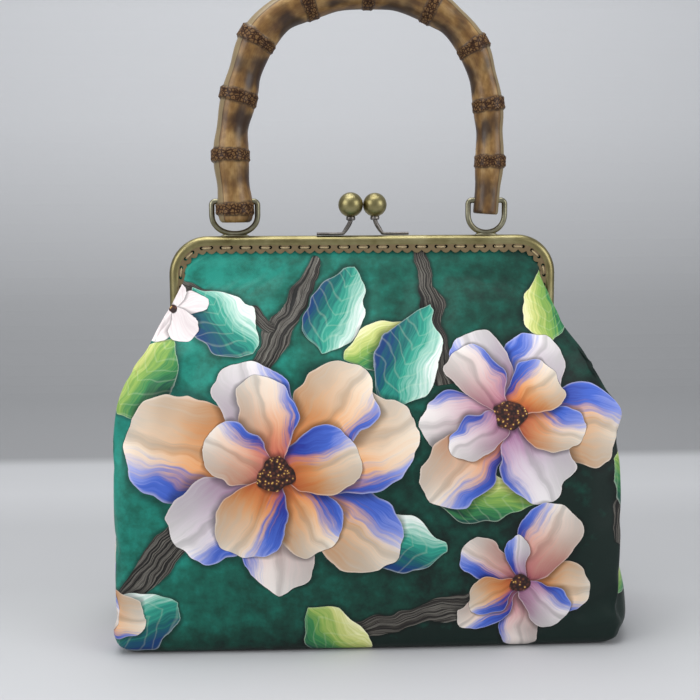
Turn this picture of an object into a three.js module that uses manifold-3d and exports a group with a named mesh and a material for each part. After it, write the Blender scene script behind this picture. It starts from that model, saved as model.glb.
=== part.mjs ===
// Handbag with a kiss-lock purse frame and a bamboo arch handle, standing on its base.
// Millimetres, +Z up. The front faces -Y, +X is to the right, and the origin is the middle of
// the base on the floor. The pieces are drawn round the frame's middle and moved there at the end.

import * as THREE from 'three';
import { mergeVertices } from 'three/addons/utils/BufferGeometryUtils.js';
import Module from 'manifold-3d';

const wasm = await Module();
wasm.setup();

// Fits
const fit = 0.3; // gap between pieces that touch
const bite = 0.4; // how far two joined bodies run into each other before they are fused

// Purse frame: two pressed brass channels, open towards the bag
const frameWidth = 200; // outside the arms
const frameTop = 207; // top edge above the floor
const frameCornerRadius = 20; // outer edge
const armLength = 58; // top edge down to the hinge rivets
const channelThickness = 4.2; // one half, front to back
const channelWall = 0.8;
const channelBend = 1.7; // outside radius of the rounded outer edge
const faceDepth = 9.2; // outer edge to the tips of the scallops
const backWallDepth = 4.4; // the wall that faces the other half
const scallopDepth = 1.3;
const scallopRoundness = 0.7; // power of a lobe's rise: lower is squarer
const scallopShares = [0, 0.3, 0.7]; // points along one lobe
const holeInset = 5.9; // outer edge to the centres of the sewing holes
const holePitch = 5;
const holeDiameter = 1.6;

// Hinges at the feet of the arms
const lugRadius = 4;
const lugThickness = 1.2;
const lugTab = 3; // how far a lug reaches up into its channel
const rivetDiameter = 2;
const rivetHeadDiameter = 4.4;
const rivetHeadThickness = 0.8;

// Kiss lock
const ballDiameterLeft = 12.5;
const ballDiameterRight = 12;
const ballHeight = 15.7; // centres above the frame's top
const ballStagger = 1; // each ball's centre off the closing plane
const collarRadius = 2.3;
const collarHeight = 1.6;
const collarRim = 0.6; // straight part of the collar, as a share of its height
const collarSeat = 0.8; // where the ball springs from it, as a share of its radius
const postThickness = 1.4;
const postWidth = 3;
const footLength = 13;
const footReach = 4.6; // from under the ball's centre to the bend above the foot

// D-rings soldered on the back half, and the bar that the handle turns on
const ringWire = 2.9;
const ringSides = 8; // faces round the wire
const ringBarHeight = 17.8; // bar's centre above the frame's top
const ringBowl = 10.2; // height of the round lower part
const ringSideGap = 0.6; // between the bamboo and the ring's sides
const ringBowlRoundness = 0.85; // power of the lower part's curve: 1 is an ellipse

// Bamboo handle
const handleHalfSpan = 67; // middle plane to the legs' centrelines
const archRise = 123.5; // frame's top to the centreline at the crown
const handleRadius = 10; // at the thickest node
const nodeBand = 7.6; // width of a node's raised ring
const nodeShoulder = 0.9; // length over which a band rises
const nodeValley = 0.9; // girth beside a band, as a share of the band's
const endRounding = [ // the rounded left end: distance from the tip, share of the girth
  { from: 0, girth: 0.74 },
  { from: 0.8, girth: 0.92 },
  { from: 2.4, girth: 1 },
];
const endBevel = { length: 0.9, girth: 0.9 }; // the plainer right end
const handleSides = 12;

// Cloth bag
const bodyHalfWidth = 127; // front panel at the base, from the middle plane
const baseHalfDepth = 42.5; // closing plane to the fullest point of the front panel
const clothWall = 2; // satin, padding and backing together
const lipOverlap = 2.2; // cloth inside the scalloped edge that joins the lip to the panel
const lipReach = 2.1; // cloth lip's edge, in from the frame's outer edge
const creaseBevel = 2.4; // roundness of the panel's pressed side edges
const sideSwell = 0.2; // how far a full side stands past a straight line, as a share of its swing

// Worked out from the sizes above
const frameHalf = frameWidth / 2;
const cornerX = frameHalf - frameCornerRadius;
const cornerZ = frameTop - frameCornerRadius;
const hingeHeight = frameTop - armLength;
const armFoot = hingeHeight + lugRadius + fit;
const closing = fit / 2; // each half's back stands this far off the closing plane
const channelMiddle = closing + channelThickness / 2;
const frontFace = closing + channelThickness;
const lipInner = closing + channelWall + fit;
const lipOuter = lipInner + clothWall;
const throatX = frameHalf - faceDepth - fit - bite;
const throatTop = frameTop - faceDepth - fit;
const throatHalf = frontFace + fit + bite;
const barHeight = frameTop + ringBarHeight;
const ringCorner = ringSideGap + ringWire / 2; // a ring's top corners bend just outside the bamboo

// Turns a three.js geometry into a solid that can be joined and cut
function solid(geometry) {
  const bare = geometry.clone();
  bare.deleteAttribute('normal');
  bare.deleteAttribute('uv');
  const merged = mergeVertices(bare);
  const vertProperties = new Float32Array(merged.attributes.position.array);
  const triVerts = new Uint32Array(merged.index.array);
  return new wasm.Manifold(new wasm.Mesh({ numProp: 3, vertProperties, triVerts }));
}

// Turns a solid back into a three.js geometry
function surface(body) {
  const mesh = body.getMesh();
  const geometry = new THREE.BufferGeometry();
  const points = new Float32Array(mesh.vertProperties);
  geometry.setAttribute('position', new THREE.BufferAttribute(points, 3));
  geometry.setIndex([...mesh.triVerts]);
  geometry.computeVertexNormals();
  return geometry;
}

// Triangles that close a flat ring whose sides turn inwards, such as a channel's section
function earFaces(ring) {
  const flat = ring.map((p) => new THREE.Vector2(p.x, p.y));
  const along = Math.sign(THREE.ShapeUtils.area(flat));
  return THREE.ShapeUtils.triangulateShape(flat, []).map((face) => {
    const turn = Math.sign(THREE.ShapeUtils.area(face.map((i) => flat[i])));
    return turn === along ? face : [...face].reverse();
  });
}

// A closed body through rings of points. Its ends are joined into a loop, or closed by a fan of
// triangles, or by ears where the section isn't one that a fan fits.
function loft(rings, ends = 'fan') {
  const count = rings[0].length;
  const points = rings.flat();
  const index = [];
  const spans = ends === 'loop' ? rings.length : rings.length - 1;
  for (let i = 0; i < spans; i += 1) {
    const near = i * count;
    const far = ((i + 1) % rings.length) * count;
    for (let j = 0; j < count; j += 1) {
      const k = (j + 1) % count;
      index.push(near + j, near + k, far + k, near + j, far + k, far + j);
    }
  }
  const last = points.length - count;
  if (ends === 'ears') {
    earFaces(rings[0]).forEach(([a, b, c]) => index.push(c, b, a));
    earFaces(rings[rings.length - 1]).forEach(([a, b, c]) => index.push(last + a, last + b, last + c));
  } else if (ends === 'fan') {
    for (const start of [0, last]) {
      const rim = points.slice(start, start + count);
      const hub = points.length;
      points.push(rim.reduce((sum, p) => sum.add(p), new THREE.Vector3()).divideScalar(count));
      for (let j = 0; j < count; j += 1) {
        const pair = [start + j, start + ((j + 1) % count)];
        index.push(hub, ...(start === 0 ? pair.reverse() : pair));
      }
    }
  }
  let volume = 0;
  for (let i = 0; i < index.length; i += 3) {
    const [a, b, c] = [points[index[i]], points[index[i + 1]], points[index[i + 2]]];
    volume += a.dot(new THREE.Vector3().crossVectors(b, c));
  }
  const geometry = new THREE.BufferGeometry().setFromPoints(points);
  geometry.setIndex(volume < 0 ? index.reverse() : index);
  return geometry;
}

// A box given by its lowest and highest corners
function block(low, high) {
  const size = high.map((v, i) => v - low[i]);
  const box = new THREE.BoxGeometry(...size);
  box.translate(...high.map((v, i) => (v + low[i]) / 2));
  return box;
}

// A round bar along X or Y, from one end to the other
function bar(axis, from, to, radius, across, height, sides) {
  const rod = new THREE.CylinderGeometry(radius, radius, Math.abs(to - from), sides);
  const middle = (from + to) / 2;
  if (axis === 'x') {
    rod.rotateZ(Math.PI / 2);
    rod.translate(middle, across, height);
  } else {
    rod.translate(across, middle, height);
  }
  return rod;
}

// Frame outline

// The U of the frame as a list of stations. Each gives the point at a distance in from the edge.
function frameStations(foot, cornerSteps) {
  const arm = (side) => (inset) => [side * (frameHalf - inset), foot];
  const bend = (side, angle) => (inset) => [
    side * (cornerX + (frameCornerRadius - inset) * Math.cos(angle)),
    cornerZ + (frameCornerRadius - inset) * Math.sin(angle),
  ];
  const quarter = Array.from({ length: cornerSteps + 1 }, (_, i) => (i / cornerSteps) * (Math.PI / 2));
  const left = quarter.map((angle) => bend(-1, angle));
  const right = [...quarter].reverse().map((angle) => bend(1, angle));
  return [arm(-1), ...left, ...right, arm(1)];
}

// Sweeps a section, given as pairs of inset and depth, round the frame's U
function sweepFrame(section, foot, cornerSteps) {
  const rings = frameStations(foot, cornerSteps).map((station) => section.map(([inset, depth]) => {
    const [x, z] = station(inset);
    return new THREE.Vector3(x, depth, z);
  }));
  return loft(rings, section.length > 4 ? 'ears' : 'fan');
}

const armRun = cornerZ - armFoot;
const arcRun = (frameCornerRadius - holeInset) * (Math.PI / 2);
const topRun = 2 * cornerX;
const holeLine = 2 * armRun + 2 * arcRun + topRun;
const holeCount = Math.round(holeLine / holePitch);

// A point by its run along the line of holes, from the left foot to the right one
function alongFrame(run, inset) {
  const half = holeLine / 2;
  const side = run < half ? -1 : 1;
  const fromMiddle = Math.abs(run - half);
  const pastTop = fromMiddle - topRun / 2;
  if (pastTop < 0) {
    return [side * fromMiddle, frameTop - inset];
  }
  const reach = frameCornerRadius - inset;
  if (pastTop < arcRun) {
    const angle = (pastTop / arcRun) * (Math.PI / 2);
    return [side * (cornerX + reach * Math.sin(angle)), cornerZ + reach * Math.cos(angle)];
  }
  return [side * (frameHalf - inset), cornerZ - (pastTop - arcRun)];
}

// Frame halves

// The channel's section: face wall, rounded outer edge and shorter back wall, as inset and depth
function channelSection() {
  const face = frontFace;
  const back = closing;
  const inFace = face - channelWall;
  const inBack = back + channelWall;
  const inner = channelBend - channelWall;
  const deep = faceDepth + bite;
  const bend = (radius, turn) => [
    channelBend - radius * Math.cos(turn),
    face - channelBend + radius * Math.sin(turn),
  ];
  const turns = [Math.PI / 2, Math.PI / 4, 0];
  return [
    [deep, face],
    ...turns.map((turn) => bend(channelBend, turn)),
    [0, back + channelWall / 2],
    [channelWall / 2, back],
    [backWallDepth, back],
    [backWallDepth, inBack],
    [channelWall, inBack],
    ...[...turns].reverse().map((turn) => bend(inner, turn)),
    [deep, inFace],
  ];
}

// What the scalloped edge leaves of the face: one lobe for each sewing hole
function scallopCutter() {
  const edge = [];
  for (let i = 0; i < holeCount; i += 1) {
    scallopShares.forEach((share) => {
      const rise = Math.sin(share * Math.PI) ** scallopRoundness;
      const run = ((i + share) * holeLine) / holeCount;
      edge.push(alongFrame(run, faceDepth - scallopDepth * (1 - rise)));
    });
  }
  edge.push(alongFrame(holeLine, faceDepth - scallopDepth));
  const beyond = faceDepth + 4 * bite;
  const inside = frameStations(armFoot, 4).map((station) => station(beyond)).reverse();
  const below = armFoot - bite;
  const outline = [
    [edge[0][0], below], ...edge, [edge[edge.length - 1][0], below],
    [inside[0][0], below], ...inside.slice(1, -1), [inside[inside.length - 1][0], below],
  ];
  const shape = new THREE.Shape(outline.map(([x, z]) => new THREE.Vector2(x, z)));
  const cutter = new THREE.ExtrudeGeometry(shape, { depth: channelWall + 2 * fit, bevelEnabled: false });
  cutter.rotateX(Math.PI / 2);
  cutter.translate(0, frontFace + fit, 0);
  return cutter;
}

// One hinge lug: a round-ended plate that reaches up into its channel, with the rivet's hole
function hingeLug(side, inset) {
  const outer = side * (frameHalf - inset);
  const inner = side * (frameHalf - inset - lugThickness);
  const [low, high] = outer < inner ? [outer, inner] : [inner, outer];
  const disc = solid(bar('x', low, high, lugRadius, 0, hingeHeight, 16));
  const tabLow = [low, closing + bite / 2, hingeHeight];
  const tab = solid(block(tabLow, [high, frontFace - bite, armFoot + lugTab]));
  const hole = solid(bar('x', low - 1, high + 1, rivetDiameter / 2 + fit, 0, hingeHeight, 12));
  return disc.add(tab).subtract(hole);
}

// A half of the frame, made as the back one (its face towards +Y), with its lugs at their insets
function frameHalfSolid(lugInset) {
  let half = solid(sweepFrame(channelSection(), armFoot, 5));
  half = half.subtract(solid(scallopCutter()));
  for (let i = 0; i < holeCount; i += 1) {
    const [x, z] = alongFrame(((i + 0.5) * holeLine) / holeCount, holeInset);
    const from = frontFace - channelWall - fit;
    half = half.subtract(solid(bar('y', from, frontFace + fit, holeDiameter / 2, x, z, 6)));
  }
  for (const side of [-1, 1]) {
    half = half.add(hingeLug(side, lugInset));
  }
  return half;
}

const lugInsetFront = fit;
const lugInsetBack = lugInsetFront + lugThickness + fit;

// Bamboo handle: the culm's course from the left end to the right one, read along the arch.
// Across is a share of the half span, up a share of the arch's rise, girth a share of the radius.
const culm = [
  { point: 'left end', across: -0.985, up: 0.056, girth: 0.95, node: false },
  { point: 'left collar', across: -0.986, up: 0.106, girth: 0.95, node: false },
  { point: 'left foot', across: -1.0, up: 0.198, girth: 0.86, node: false },
  { point: 'node 1', across: -1.013, up: 0.332, girth: 1.0, node: true },
  { point: 'internode 1', across: -0.997, up: 0.447, girth: 0.85, node: false },
  { point: 'node 2', across: -0.945, up: 0.571, girth: 1.0, node: true },
  { point: 'internode 2', across: -0.896, up: 0.673, girth: 0.86, node: false },
  { point: 'node 3', across: -0.797, up: 0.802, girth: 1.0, node: true },
  { point: 'internode 3', across: -0.618, up: 0.905, girth: 0.87, node: false },
  { point: 'node 4', across: -0.41, up: 0.956, girth: 0.98, node: true },
  { point: 'internode 4', across: -0.194, up: 0.987, girth: 0.86, node: false },
  { point: 'node 5', across: 0.042, up: 1.0, girth: 0.96, node: true },
  { point: 'internode 5', across: 0.28, up: 0.987, girth: 0.83, node: false },
  { point: 'node 6', across: 0.533, up: 0.939, girth: 0.93, node: true },
  { point: 'internode 6', across: 0.698, up: 0.878, girth: 0.78, node: false },
  { point: 'node 7', across: 0.854, up: 0.772, girth: 0.88, node: true },
  { point: 'internode 7', across: 0.934, up: 0.652, girth: 0.74, node: false },
  { point: 'node 8', across: 0.975, up: 0.538, girth: 0.84, node: true },
  { point: 'internode 8', across: 0.989, up: 0.422, girth: 0.7, node: false },
  { point: 'node 9', across: 0.99, up: 0.305, girth: 0.8, node: true },
  { point: 'right foot', across: 0.978, up: 0.192, girth: 0.68, node: false },
  { point: 'right end', across: 0.963, up: 0.087, girth: 0.69, node: false },
];

// The handle's own frame has its origin on the rings' bars, so heights here start from there
const culmPoints = culm.map(({ across, up }) => new THREE.Vector3(
  across * handleHalfSpan,
  0,
  up * archRise - ringBarHeight,
));
const culmLine = new THREE.CatmullRomCurve3(culmPoints, false, 'centripetal');
culmLine.arcLengthDivisions = 600;
const culmLength = culmLine.getLength();

// How far along the culm, as a share of its length, a row of the table lies
function culmShare(row) {
  const t = row / (culm.length - 1);
  return culmLine.getLengths()[Math.round(t * culmLine.arcLengthDivisions)] / culmLength;
}

// Stations along the culm: four for each node's band, three for each end, one for each waist
function culmStations() {
  const stations = [];
  culm.forEach(({ girth, node }, row) => {
    const at = culmShare(row) * culmLength;
    const radius = girth * handleRadius;
    if (row === 0) {
      endRounding.forEach((step) => stations.push([step.from, radius * step.girth]));
    } else if (row === culm.length - 1) {
      stations.push([culmLength - endBevel.length, radius], [culmLength, radius * endBevel.girth]);
    } else if (node) {
      const valley = radius * nodeValley;
      const half = nodeBand / 2;
      stations.push([at - half - nodeShoulder, valley], [at - half, radius]);
      stations.push([at + half, radius], [at + half + nodeShoulder, valley]);
    } else {
      stations.push([at, radius]);
    }
  });
  return stations;
}

function handleSolid() {
  const rings = culmStations().map(([at, radius]) => {
    const share = THREE.MathUtils.clamp(at / culmLength, 0, 1);
    const centre = culmLine.getPointAt(share);
    const tangent = culmLine.getTangentAt(share);
    const outward = new THREE.Vector3(tangent.z, 0, -tangent.x).normalize();
    return Array.from({ length: handleSides }, (_, i) => {
      const angle = ((i + 0.5) / handleSides) * 2 * Math.PI;
      const point = centre.clone().addScaledVector(outward, radius * Math.cos(angle));
      point.y += radius * Math.sin(angle);
      return point;
    });
  });
  const bore = bar('x', -2 * handleHalfSpan, 2 * handleHalfSpan, ringWire / 2 + fit, 0, 0, 12);
  return solid(loft(rings)).subtract(solid(bore));
}

// The leg at the bar's height: its centre and the half width that the ring must clear
function legAtBar(side) {
  const row = side < 0 ? culm.slice(0, 3) : culm.slice(-2);
  const middle = row.reduce((sum, { across }) => sum + across, 0) / row.length;
  const widest = Math.max(...row.map(({ girth }) => girth));
  return { x: middle * handleHalfSpan, radius: widest * handleRadius };
}

// A D-ring: the straight bar through the bamboo, two tight corners and a round bowl below
function dRing(side) {
  const { x, radius } = legAtBar(side);
  const half = radius + ringCorner;
  const low = frameTop + ringWire / 2 - bite;
  const bowlTop = low + ringBowl;
  const line = [];
  for (const turn of [0, 1 / 3, 2 / 3, 1]) {
    const angle = turn * (Math.PI / 2);
    line.push([half - ringCorner * (1 - Math.cos(angle)), barHeight - ringCorner * (1 - Math.sin(angle))]);
  }
  for (const [rightX, z] of [...line].reverse()) {
    line.push([-rightX, z]);
  }
  for (let i = 0; i <= 10; i += 1) {
    const angle = Math.PI + (i / 10) * Math.PI;
    const round = Math.sign(Math.sin(angle)) * Math.abs(Math.sin(angle)) ** ringBowlRoundness;
    line.push([half * Math.cos(angle), bowlTop + ringBowl * round]);
  }
  const rings = line.map(([px, pz], i) => {
    const [ax, az] = line[(i + line.length - 1) % line.length];
    const [bx, bz] = line[(i + 1) % line.length];
    const outward = new THREE.Vector3(bz - az, 0, ax - bx).normalize();
    return Array.from({ length: ringSides }, (_, j) => {
      const angle = (j / ringSides) * 2 * Math.PI;
      const reach = (ringWire / 2) * Math.cos(angle);
      const depth = channelMiddle + (ringWire / 2) * Math.sin(angle);
      return new THREE.Vector3(x + px + outward.x * reach, depth, pz + outward.z * reach);
    });
  });
  return solid(loft(rings, 'loop'));
}

// A kiss-lock ball with its collar, its own origin at the ball's centre
function ballGeometry(diameter) {
  const radius = diameter / 2;
  const start = Math.asin((collarRadius * collarSeat) / radius);
  const profile = [new THREE.Vector2(0, -radius - collarHeight)];
  profile.push(new THREE.Vector2(collarRadius, -radius - collarHeight));
  profile.push(new THREE.Vector2(collarRadius, -radius - collarHeight * (1 - collarRim)));
  for (let i = 0; i < 8; i += 1) {
    const angle = start + (i / 8) * (Math.PI - start);
    profile.push(new THREE.Vector2(radius * Math.sin(angle), -radius * Math.cos(angle)));
  }
  profile.push(new THREE.Vector2(0, radius));
  const ball = new THREE.LatheGeometry(profile, 12);
  ball.rotateX(Math.PI / 2);
  return surface(solid(ball));
}

// The balls' places: side by side across the closing plane, almost touching
const ballSpacing = (ballDiameterLeft + ballDiameterRight) / 2 + fit;
const balls = [
  { name: 'left', side: -1, diameter: ballDiameterLeft, x: -ballSpacing / 2 },
  { name: 'right', side: 1, diameter: ballDiameterRight, x: ballSpacing / 2 },
];

// The strip under a ball: a foot along the frame's top that bends up to the collar
function postGeometry({ side, diameter, x }) {
  const top = frameTop + ballHeight - diameter / 2 - collarHeight - fit;
  const bottom = frameTop + fit + postThickness / 2;
  const rise = top - bottom;
  const footY = side * channelMiddle;
  const topY = side * ballStagger;
  const bend = [
    { out: footReach + footLength, up: 0 },
    { out: footReach + 0.6, up: 0 },
    { out: footReach - 0.9, up: 0.1 },
    { out: footReach - 2.2, up: 0.34 },
    { out: 0.8, up: 0.7 },
    { out: 0, up: 1 },
  ];
  const line = bend.map(({ out, up }) => new THREE.Vector3(
    x + side * out,
    footY + (topY - footY) * up,
    bottom + rise * up,
  ));
  const rings = line.map((point, i) => {
    const before = line[Math.max(i - 1, 0)];
    const after = line[Math.min(i + 1, line.length - 1)];
    const along = new THREE.Vector3(after.x - before.x, 0, after.z - before.z).normalize();
    const level = i === line.length - 1 ? new THREE.Vector3(0, 0, 1) : along;
    const over = new THREE.Vector3(-level.z, 0, level.x);
    const corners = [[1, 1], [1, -1], [-1, -1], [-1, 1]];
    return corners.map(([a, b]) => {
      const corner = point.clone().addScaledVector(over, (a * postThickness) / 2);
      corner.y += (b * postWidth) / 2;
      return corner;
    });
  });
  return loft(rings);
}

// A hinge rivet along X, its own origin at the middle of its shank
function rivetGeometry() {
  const shank = 2 * lugThickness + 3 * fit;
  const half = shank / 2;
  const profile = [
    [0, -half - rivetHeadThickness], [rivetHeadDiameter / 4, -half - rivetHeadThickness],
    [rivetHeadDiameter / 2, -half - rivetHeadThickness / 3], [rivetHeadDiameter / 2, -half],
    [rivetDiameter / 2, -half], [rivetDiameter / 2, half],
    [rivetHeadDiameter / 2, half], [rivetHeadDiameter / 2, half + rivetHeadThickness / 3],
    [rivetHeadDiameter / 4, half + rivetHeadThickness], [0, half + rivetHeadThickness],
  ];
  const rivet = new THREE.LatheGeometry(profile.map(([r, h]) => new THREE.Vector2(r, h)), 8);
  return surface(solid(rivet));
}

// Cloth bag

// Level sections of the bag from the floor up. Rise runs from 0 at the floor to 1 at the hinges and
// 2 at the scalloped edge. Widths are shares of the way from the frame's throat to the base's half
// width: the pressed side edges, then the side folds between them. Depths are shares of the way
// from the cloth's lip to the base's half depth: at the side edges, then at the middle.
const sectionColumns = ['rise', 'edgeLeft', 'edgeRight', 'sideLeft', 'sideRight', 'edgeDepth', 'midDepth'];
const sections = [
  [0, 0.81, 0.84, 0.81, 0.97, 0.86, 0.885],
  [0.017, 0.92, 0.945, 0.92, 1.1, 0.924, 0.949],
  [0.054, 1, 1, 0.986, 1.24, 0.962, 0.987],
  [0.135, 1, 1, 0.986, 1.27, 0.975, 1],
  [0.27, 0.99, 0.98, 0.973, 1.16, 0.962, 1],
  [0.432, 0.973, 0.967, 0.973, 1.08, 0.936, 0.987],
  [0.608, 0.96, 0.973, 0.946, 1.027, 0.873, 0.949],
  [0.743, 0.951, 0.981, 0.865, 0.96, 0.783, 0.873],
  [0.797, 0.943, 1.033, 0.783, 0.87, 0.745, 0.834],
  [0.838, 0.919, 0.935, 0.7, 0.73, 0.707, 0.796],
  [0.892, 0.848, 0.791, 0.46, 0.47, 0.643, 0.745],
  [0.945, 0.737, 0.675, 0.1, 0.1, 0.58, 0.694],
  [0.96, 0.7, 0.64, 0, 0, 0.56, 0.676],
  [1, 0.566, 0.54, 0, 0, 0.516, 0.63],
  [1.25, 0.398, 0.317, 0, 0, 0.337, 0.49],
  [1.5, 0.236, 0.211, 0, 0, 0.185, 0.337],
  [1.74, 0.087, 0.079, 0, 0, 0.09, 0.172],
  [1.9, -0.01, -0.01, -0.03, -0.03, 0.05, 0.075],
  [2, -0.25, -0.25, -0.28, -0.28, 0, 0],
].map((values) => Object.fromEntries(sectionColumns.map((name, i) => [name, values[i]])));
const frontShares = [0.75, 0.5, 0.25, 0, -0.25, -0.5, -0.75];
const sideShares = [0, 0.33, 0.67];
const frontRoundness = 2.5; // power of the panel's swell from its edges to its middle

// One level section as a ring of points, drawn in by the cloth's thickness for the hollow
function bagRing(row, inset, z) {
  const wide = (share) => throatX + (bodyHalfWidth - throatX) * share;
  const deep = (share) => lipOuter + (baseHalfDepth - lipOuter) * share;
  const edgeY = deep(row.edgeDepth);
  const tipY = edgeY - inset;
  const midY = deep(row.midDepth) - inset;
  const throat = Math.min(throatHalf, edgeY - fit);
  // The side from the seam to the panel's pressed edge, and the edge's tip
  const flank = (edge, side) => {
    const angle = Math.atan2(edgeY - throat, edge - side);
    const rootX = side - inset;
    const rootY = Math.min(throat + inset * Math.tan(Math.PI / 4 - angle / 2), tipY - fit / 2);
    const drawn = edge - inset / Math.tan(angle / 2);
    const tipX = side > edge ? drawn : Math.max(drawn, rootX + fit);
    const length = Math.hypot(tipX - rootX, tipY - rootY);
    const bevel = Math.min(creaseBevel * (1 - Math.cos(angle)), length / 4);
    const swell = sideSwell * Math.max(side - edge, 0);
    const run = [...sideShares, 1 - bevel / length].map((share) => [
      rootX + (tipX - rootX) * share + swell * Math.sin(Math.PI * share),
      rootY + (tipY - rootY) * share,
    ]);
    run.push([tipX - bevel, tipY]);
    return { run, tipX };
  };
  const right = flank(wide(row.edgeRight), wide(row.sideRight));
  const left = flank(wide(row.edgeLeft), wide(row.sideLeft));
  const front = frontShares.map((share) => [
    share * (share > 0 ? right.tipX : left.tipX),
    tipY + (midY - tipY) * (1 - Math.abs(share) ** frontRoundness),
  ]);
  const half = [...right.run, ...front, ...left.run.map(([x, y]) => [-x, y]).reverse()];
  const ring = [
    [wide(row.sideRight) - inset, 0],
    ...half.map(([x, y]) => [x, -y]),
    [inset - wide(row.sideLeft), 0],
    ...half.reverse(),
  ];
  return ring.map(([x, y]) => new THREE.Vector3(x, y, z));
}

// The bag's outer form, or its hollow when inset by the cloth's thickness
function bagForm(inset, floor, rim) {
  const rings = sections.map((row) => {
    const lower = Math.min(row.rise, 1) * hingeHeight;
    const upper = Math.max(row.rise - 1, 0) * (throatTop - hingeHeight);
    const share = (lower + upper) / throatTop;
    return bagRing(row, inset, floor + share * (rim - floor));
  });
  return solid(loft(rings));
}

// A panel of the bag, made as the back one: half of the hollow form and the lip in the channel
function panelSolid() {
  const far = 2 * bodyHalfWidth;
  const outer = bagForm(0, 0, throatTop);
  const hollow = bagForm(clothWall, clothWall, throatTop + bite);
  const half = solid(block([-far, closing, -1], [far, far, frameTop]));
  const mouth = solid(block([-far, 0, hingeHeight], [far, lipInner, frameTop]));
  const reach = frontFace + fit;
  const clear = faceDepth + fit;
  const roomSection = [[-bite, -bite], [clear, -bite], [clear, reach], [-bite, reach]];
  const room = solid(sweepFrame(roomSection, hingeHeight - lugRadius - fit, 5));
  const lipDeep = faceDepth + lipOverlap;
  const lipSection = [[lipReach, lipInner], [lipDeep, lipInner], [lipDeep, lipOuter], [lipReach, lipOuter]];
  const lip = solid(sweepFrame(lipSection, armFoot + lugTab + fit, 5));
  return outer.subtract(hollow).intersect(half).subtract(mouth).subtract(room).add(lip);
}

// Turns a solid made at the back round to the front
function toFront(body) {
  return body.mirror([0, 1, 0]);
}

// Materials, as the photograph shows them
const brass = new THREE.MeshStandardMaterial({ color: 0x8f8a58, roughness: 0.35, metalness: 1 });
const gunmetal = new THREE.MeshStandardMaterial({ color: 0x4a4640, roughness: 0.4, metalness: 1 });
const bamboo = new THREE.MeshStandardMaterial({ color: 0x8a6234, roughness: 0.45, metalness: 0 });
const satin = new THREE.MeshStandardMaterial({ color: 0x1d7a68, roughness: 0.5, metalness: 0 });

// Adds a named piece to a group
function piece(group, name, geometry, material) {
  const mesh = new THREE.Mesh(geometry, material);
  mesh.name = name;
  group.add(mesh);
  return mesh;
}

// The origin is midway between the widest points, and the right side is the fuller one
const widest = (...columns) => Math.max(...sections.flatMap((row) => columns.map((name) => row[name])));
const fuller = widest('edgeRight', 'sideRight') - widest('edgeLeft', 'sideLeft');

const bag = new THREE.Group();
bag.position.x = (-fuller * (bodyHalfWidth - throatX)) / 2;

const cloth = new THREE.Group();
const panel = panelSolid();
piece(cloth, 'body_front', surface(toFront(panel)), satin);
piece(cloth, 'body_back', surface(panel), satin);
bag.add(cloth);

const purseFrame = new THREE.Group();
const rings = dRing(-1).add(dRing(1));
piece(purseFrame, 'frame_front', surface(toFront(frameHalfSolid(lugInsetFront))), brass);
piece(purseFrame, 'frame_back', surface(frameHalfSolid(lugInsetBack).add(rings)), brass);
for (const [name, side] of [['left', -1], ['right', 1]]) {
  const rivet = piece(purseFrame, `hinge_rivet_${name}`, rivetGeometry(), gunmetal);
  rivet.rotation.z = -side * (Math.PI / 2);
  rivet.position.set(side * (frameHalf - lugInsetFront - lugThickness - fit / 2), 0, hingeHeight);
}
bag.add(purseFrame);

const clasp = new THREE.Group();
for (const ball of balls) {
  piece(clasp, `clasp_post_${ball.name}`, postGeometry(ball), gunmetal);
  const round = piece(clasp, `clasp_ball_${ball.name}`, ballGeometry(ball.diameter), brass);
  round.position.set(ball.x, ball.side * ballStagger, frameTop + ballHeight);
}
bag.add(clasp);

const swing = new THREE.Group();
swing.position.set(0, channelMiddle, barHeight);
piece(swing, 'handle', surface(handleSolid()), bamboo);
bag.add(swing);

export default bag;
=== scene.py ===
# A cloth handbag on a kiss-lock purse frame, with a bamboo handle, standing on a pale table.
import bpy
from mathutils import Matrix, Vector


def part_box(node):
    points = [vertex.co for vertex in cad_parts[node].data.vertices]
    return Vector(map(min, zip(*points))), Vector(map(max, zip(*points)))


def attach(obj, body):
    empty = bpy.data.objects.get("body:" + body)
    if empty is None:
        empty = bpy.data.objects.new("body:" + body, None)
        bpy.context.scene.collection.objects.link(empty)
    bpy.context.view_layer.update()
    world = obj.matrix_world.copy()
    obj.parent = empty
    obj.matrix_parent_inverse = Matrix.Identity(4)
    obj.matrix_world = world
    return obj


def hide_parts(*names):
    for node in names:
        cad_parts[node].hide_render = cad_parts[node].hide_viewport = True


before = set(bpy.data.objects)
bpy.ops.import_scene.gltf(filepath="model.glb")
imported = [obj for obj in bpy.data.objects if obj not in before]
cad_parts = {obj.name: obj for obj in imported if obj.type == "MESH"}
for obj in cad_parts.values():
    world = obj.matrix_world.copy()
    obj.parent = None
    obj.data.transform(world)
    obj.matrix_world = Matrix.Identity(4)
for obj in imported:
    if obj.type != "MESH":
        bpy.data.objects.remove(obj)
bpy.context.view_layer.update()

import math
import random

import bmesh
import bpy
import numpy as np
from mathutils import Matrix, Vector

# Table, light and camera
# A pale sheet of paper lies on the table and curves up behind the bag, lit softly from above and from
# the front. None of it belongs to the bag. The camera stands a little left of the bag's middle.
mm = 0.001
frame_low, frame_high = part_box("frame_front")
middle_x = (frame_low.x + frame_high.x) / 2
scene = bpy.context.scene
scene.view_settings.view_transform = "Standard"


def finish(name, settings):
    """A new material with its shader's own values set. Gives the material, its tree and the shader."""
    material = bpy.data.materials.new(name)
    material.use_nodes = True
    shader = material.node_tree.nodes["Principled BSDF"]
    for socket, value in settings.items():
        shader.inputs[socket].default_value = value
    return material, material.node_tree, shader


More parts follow.
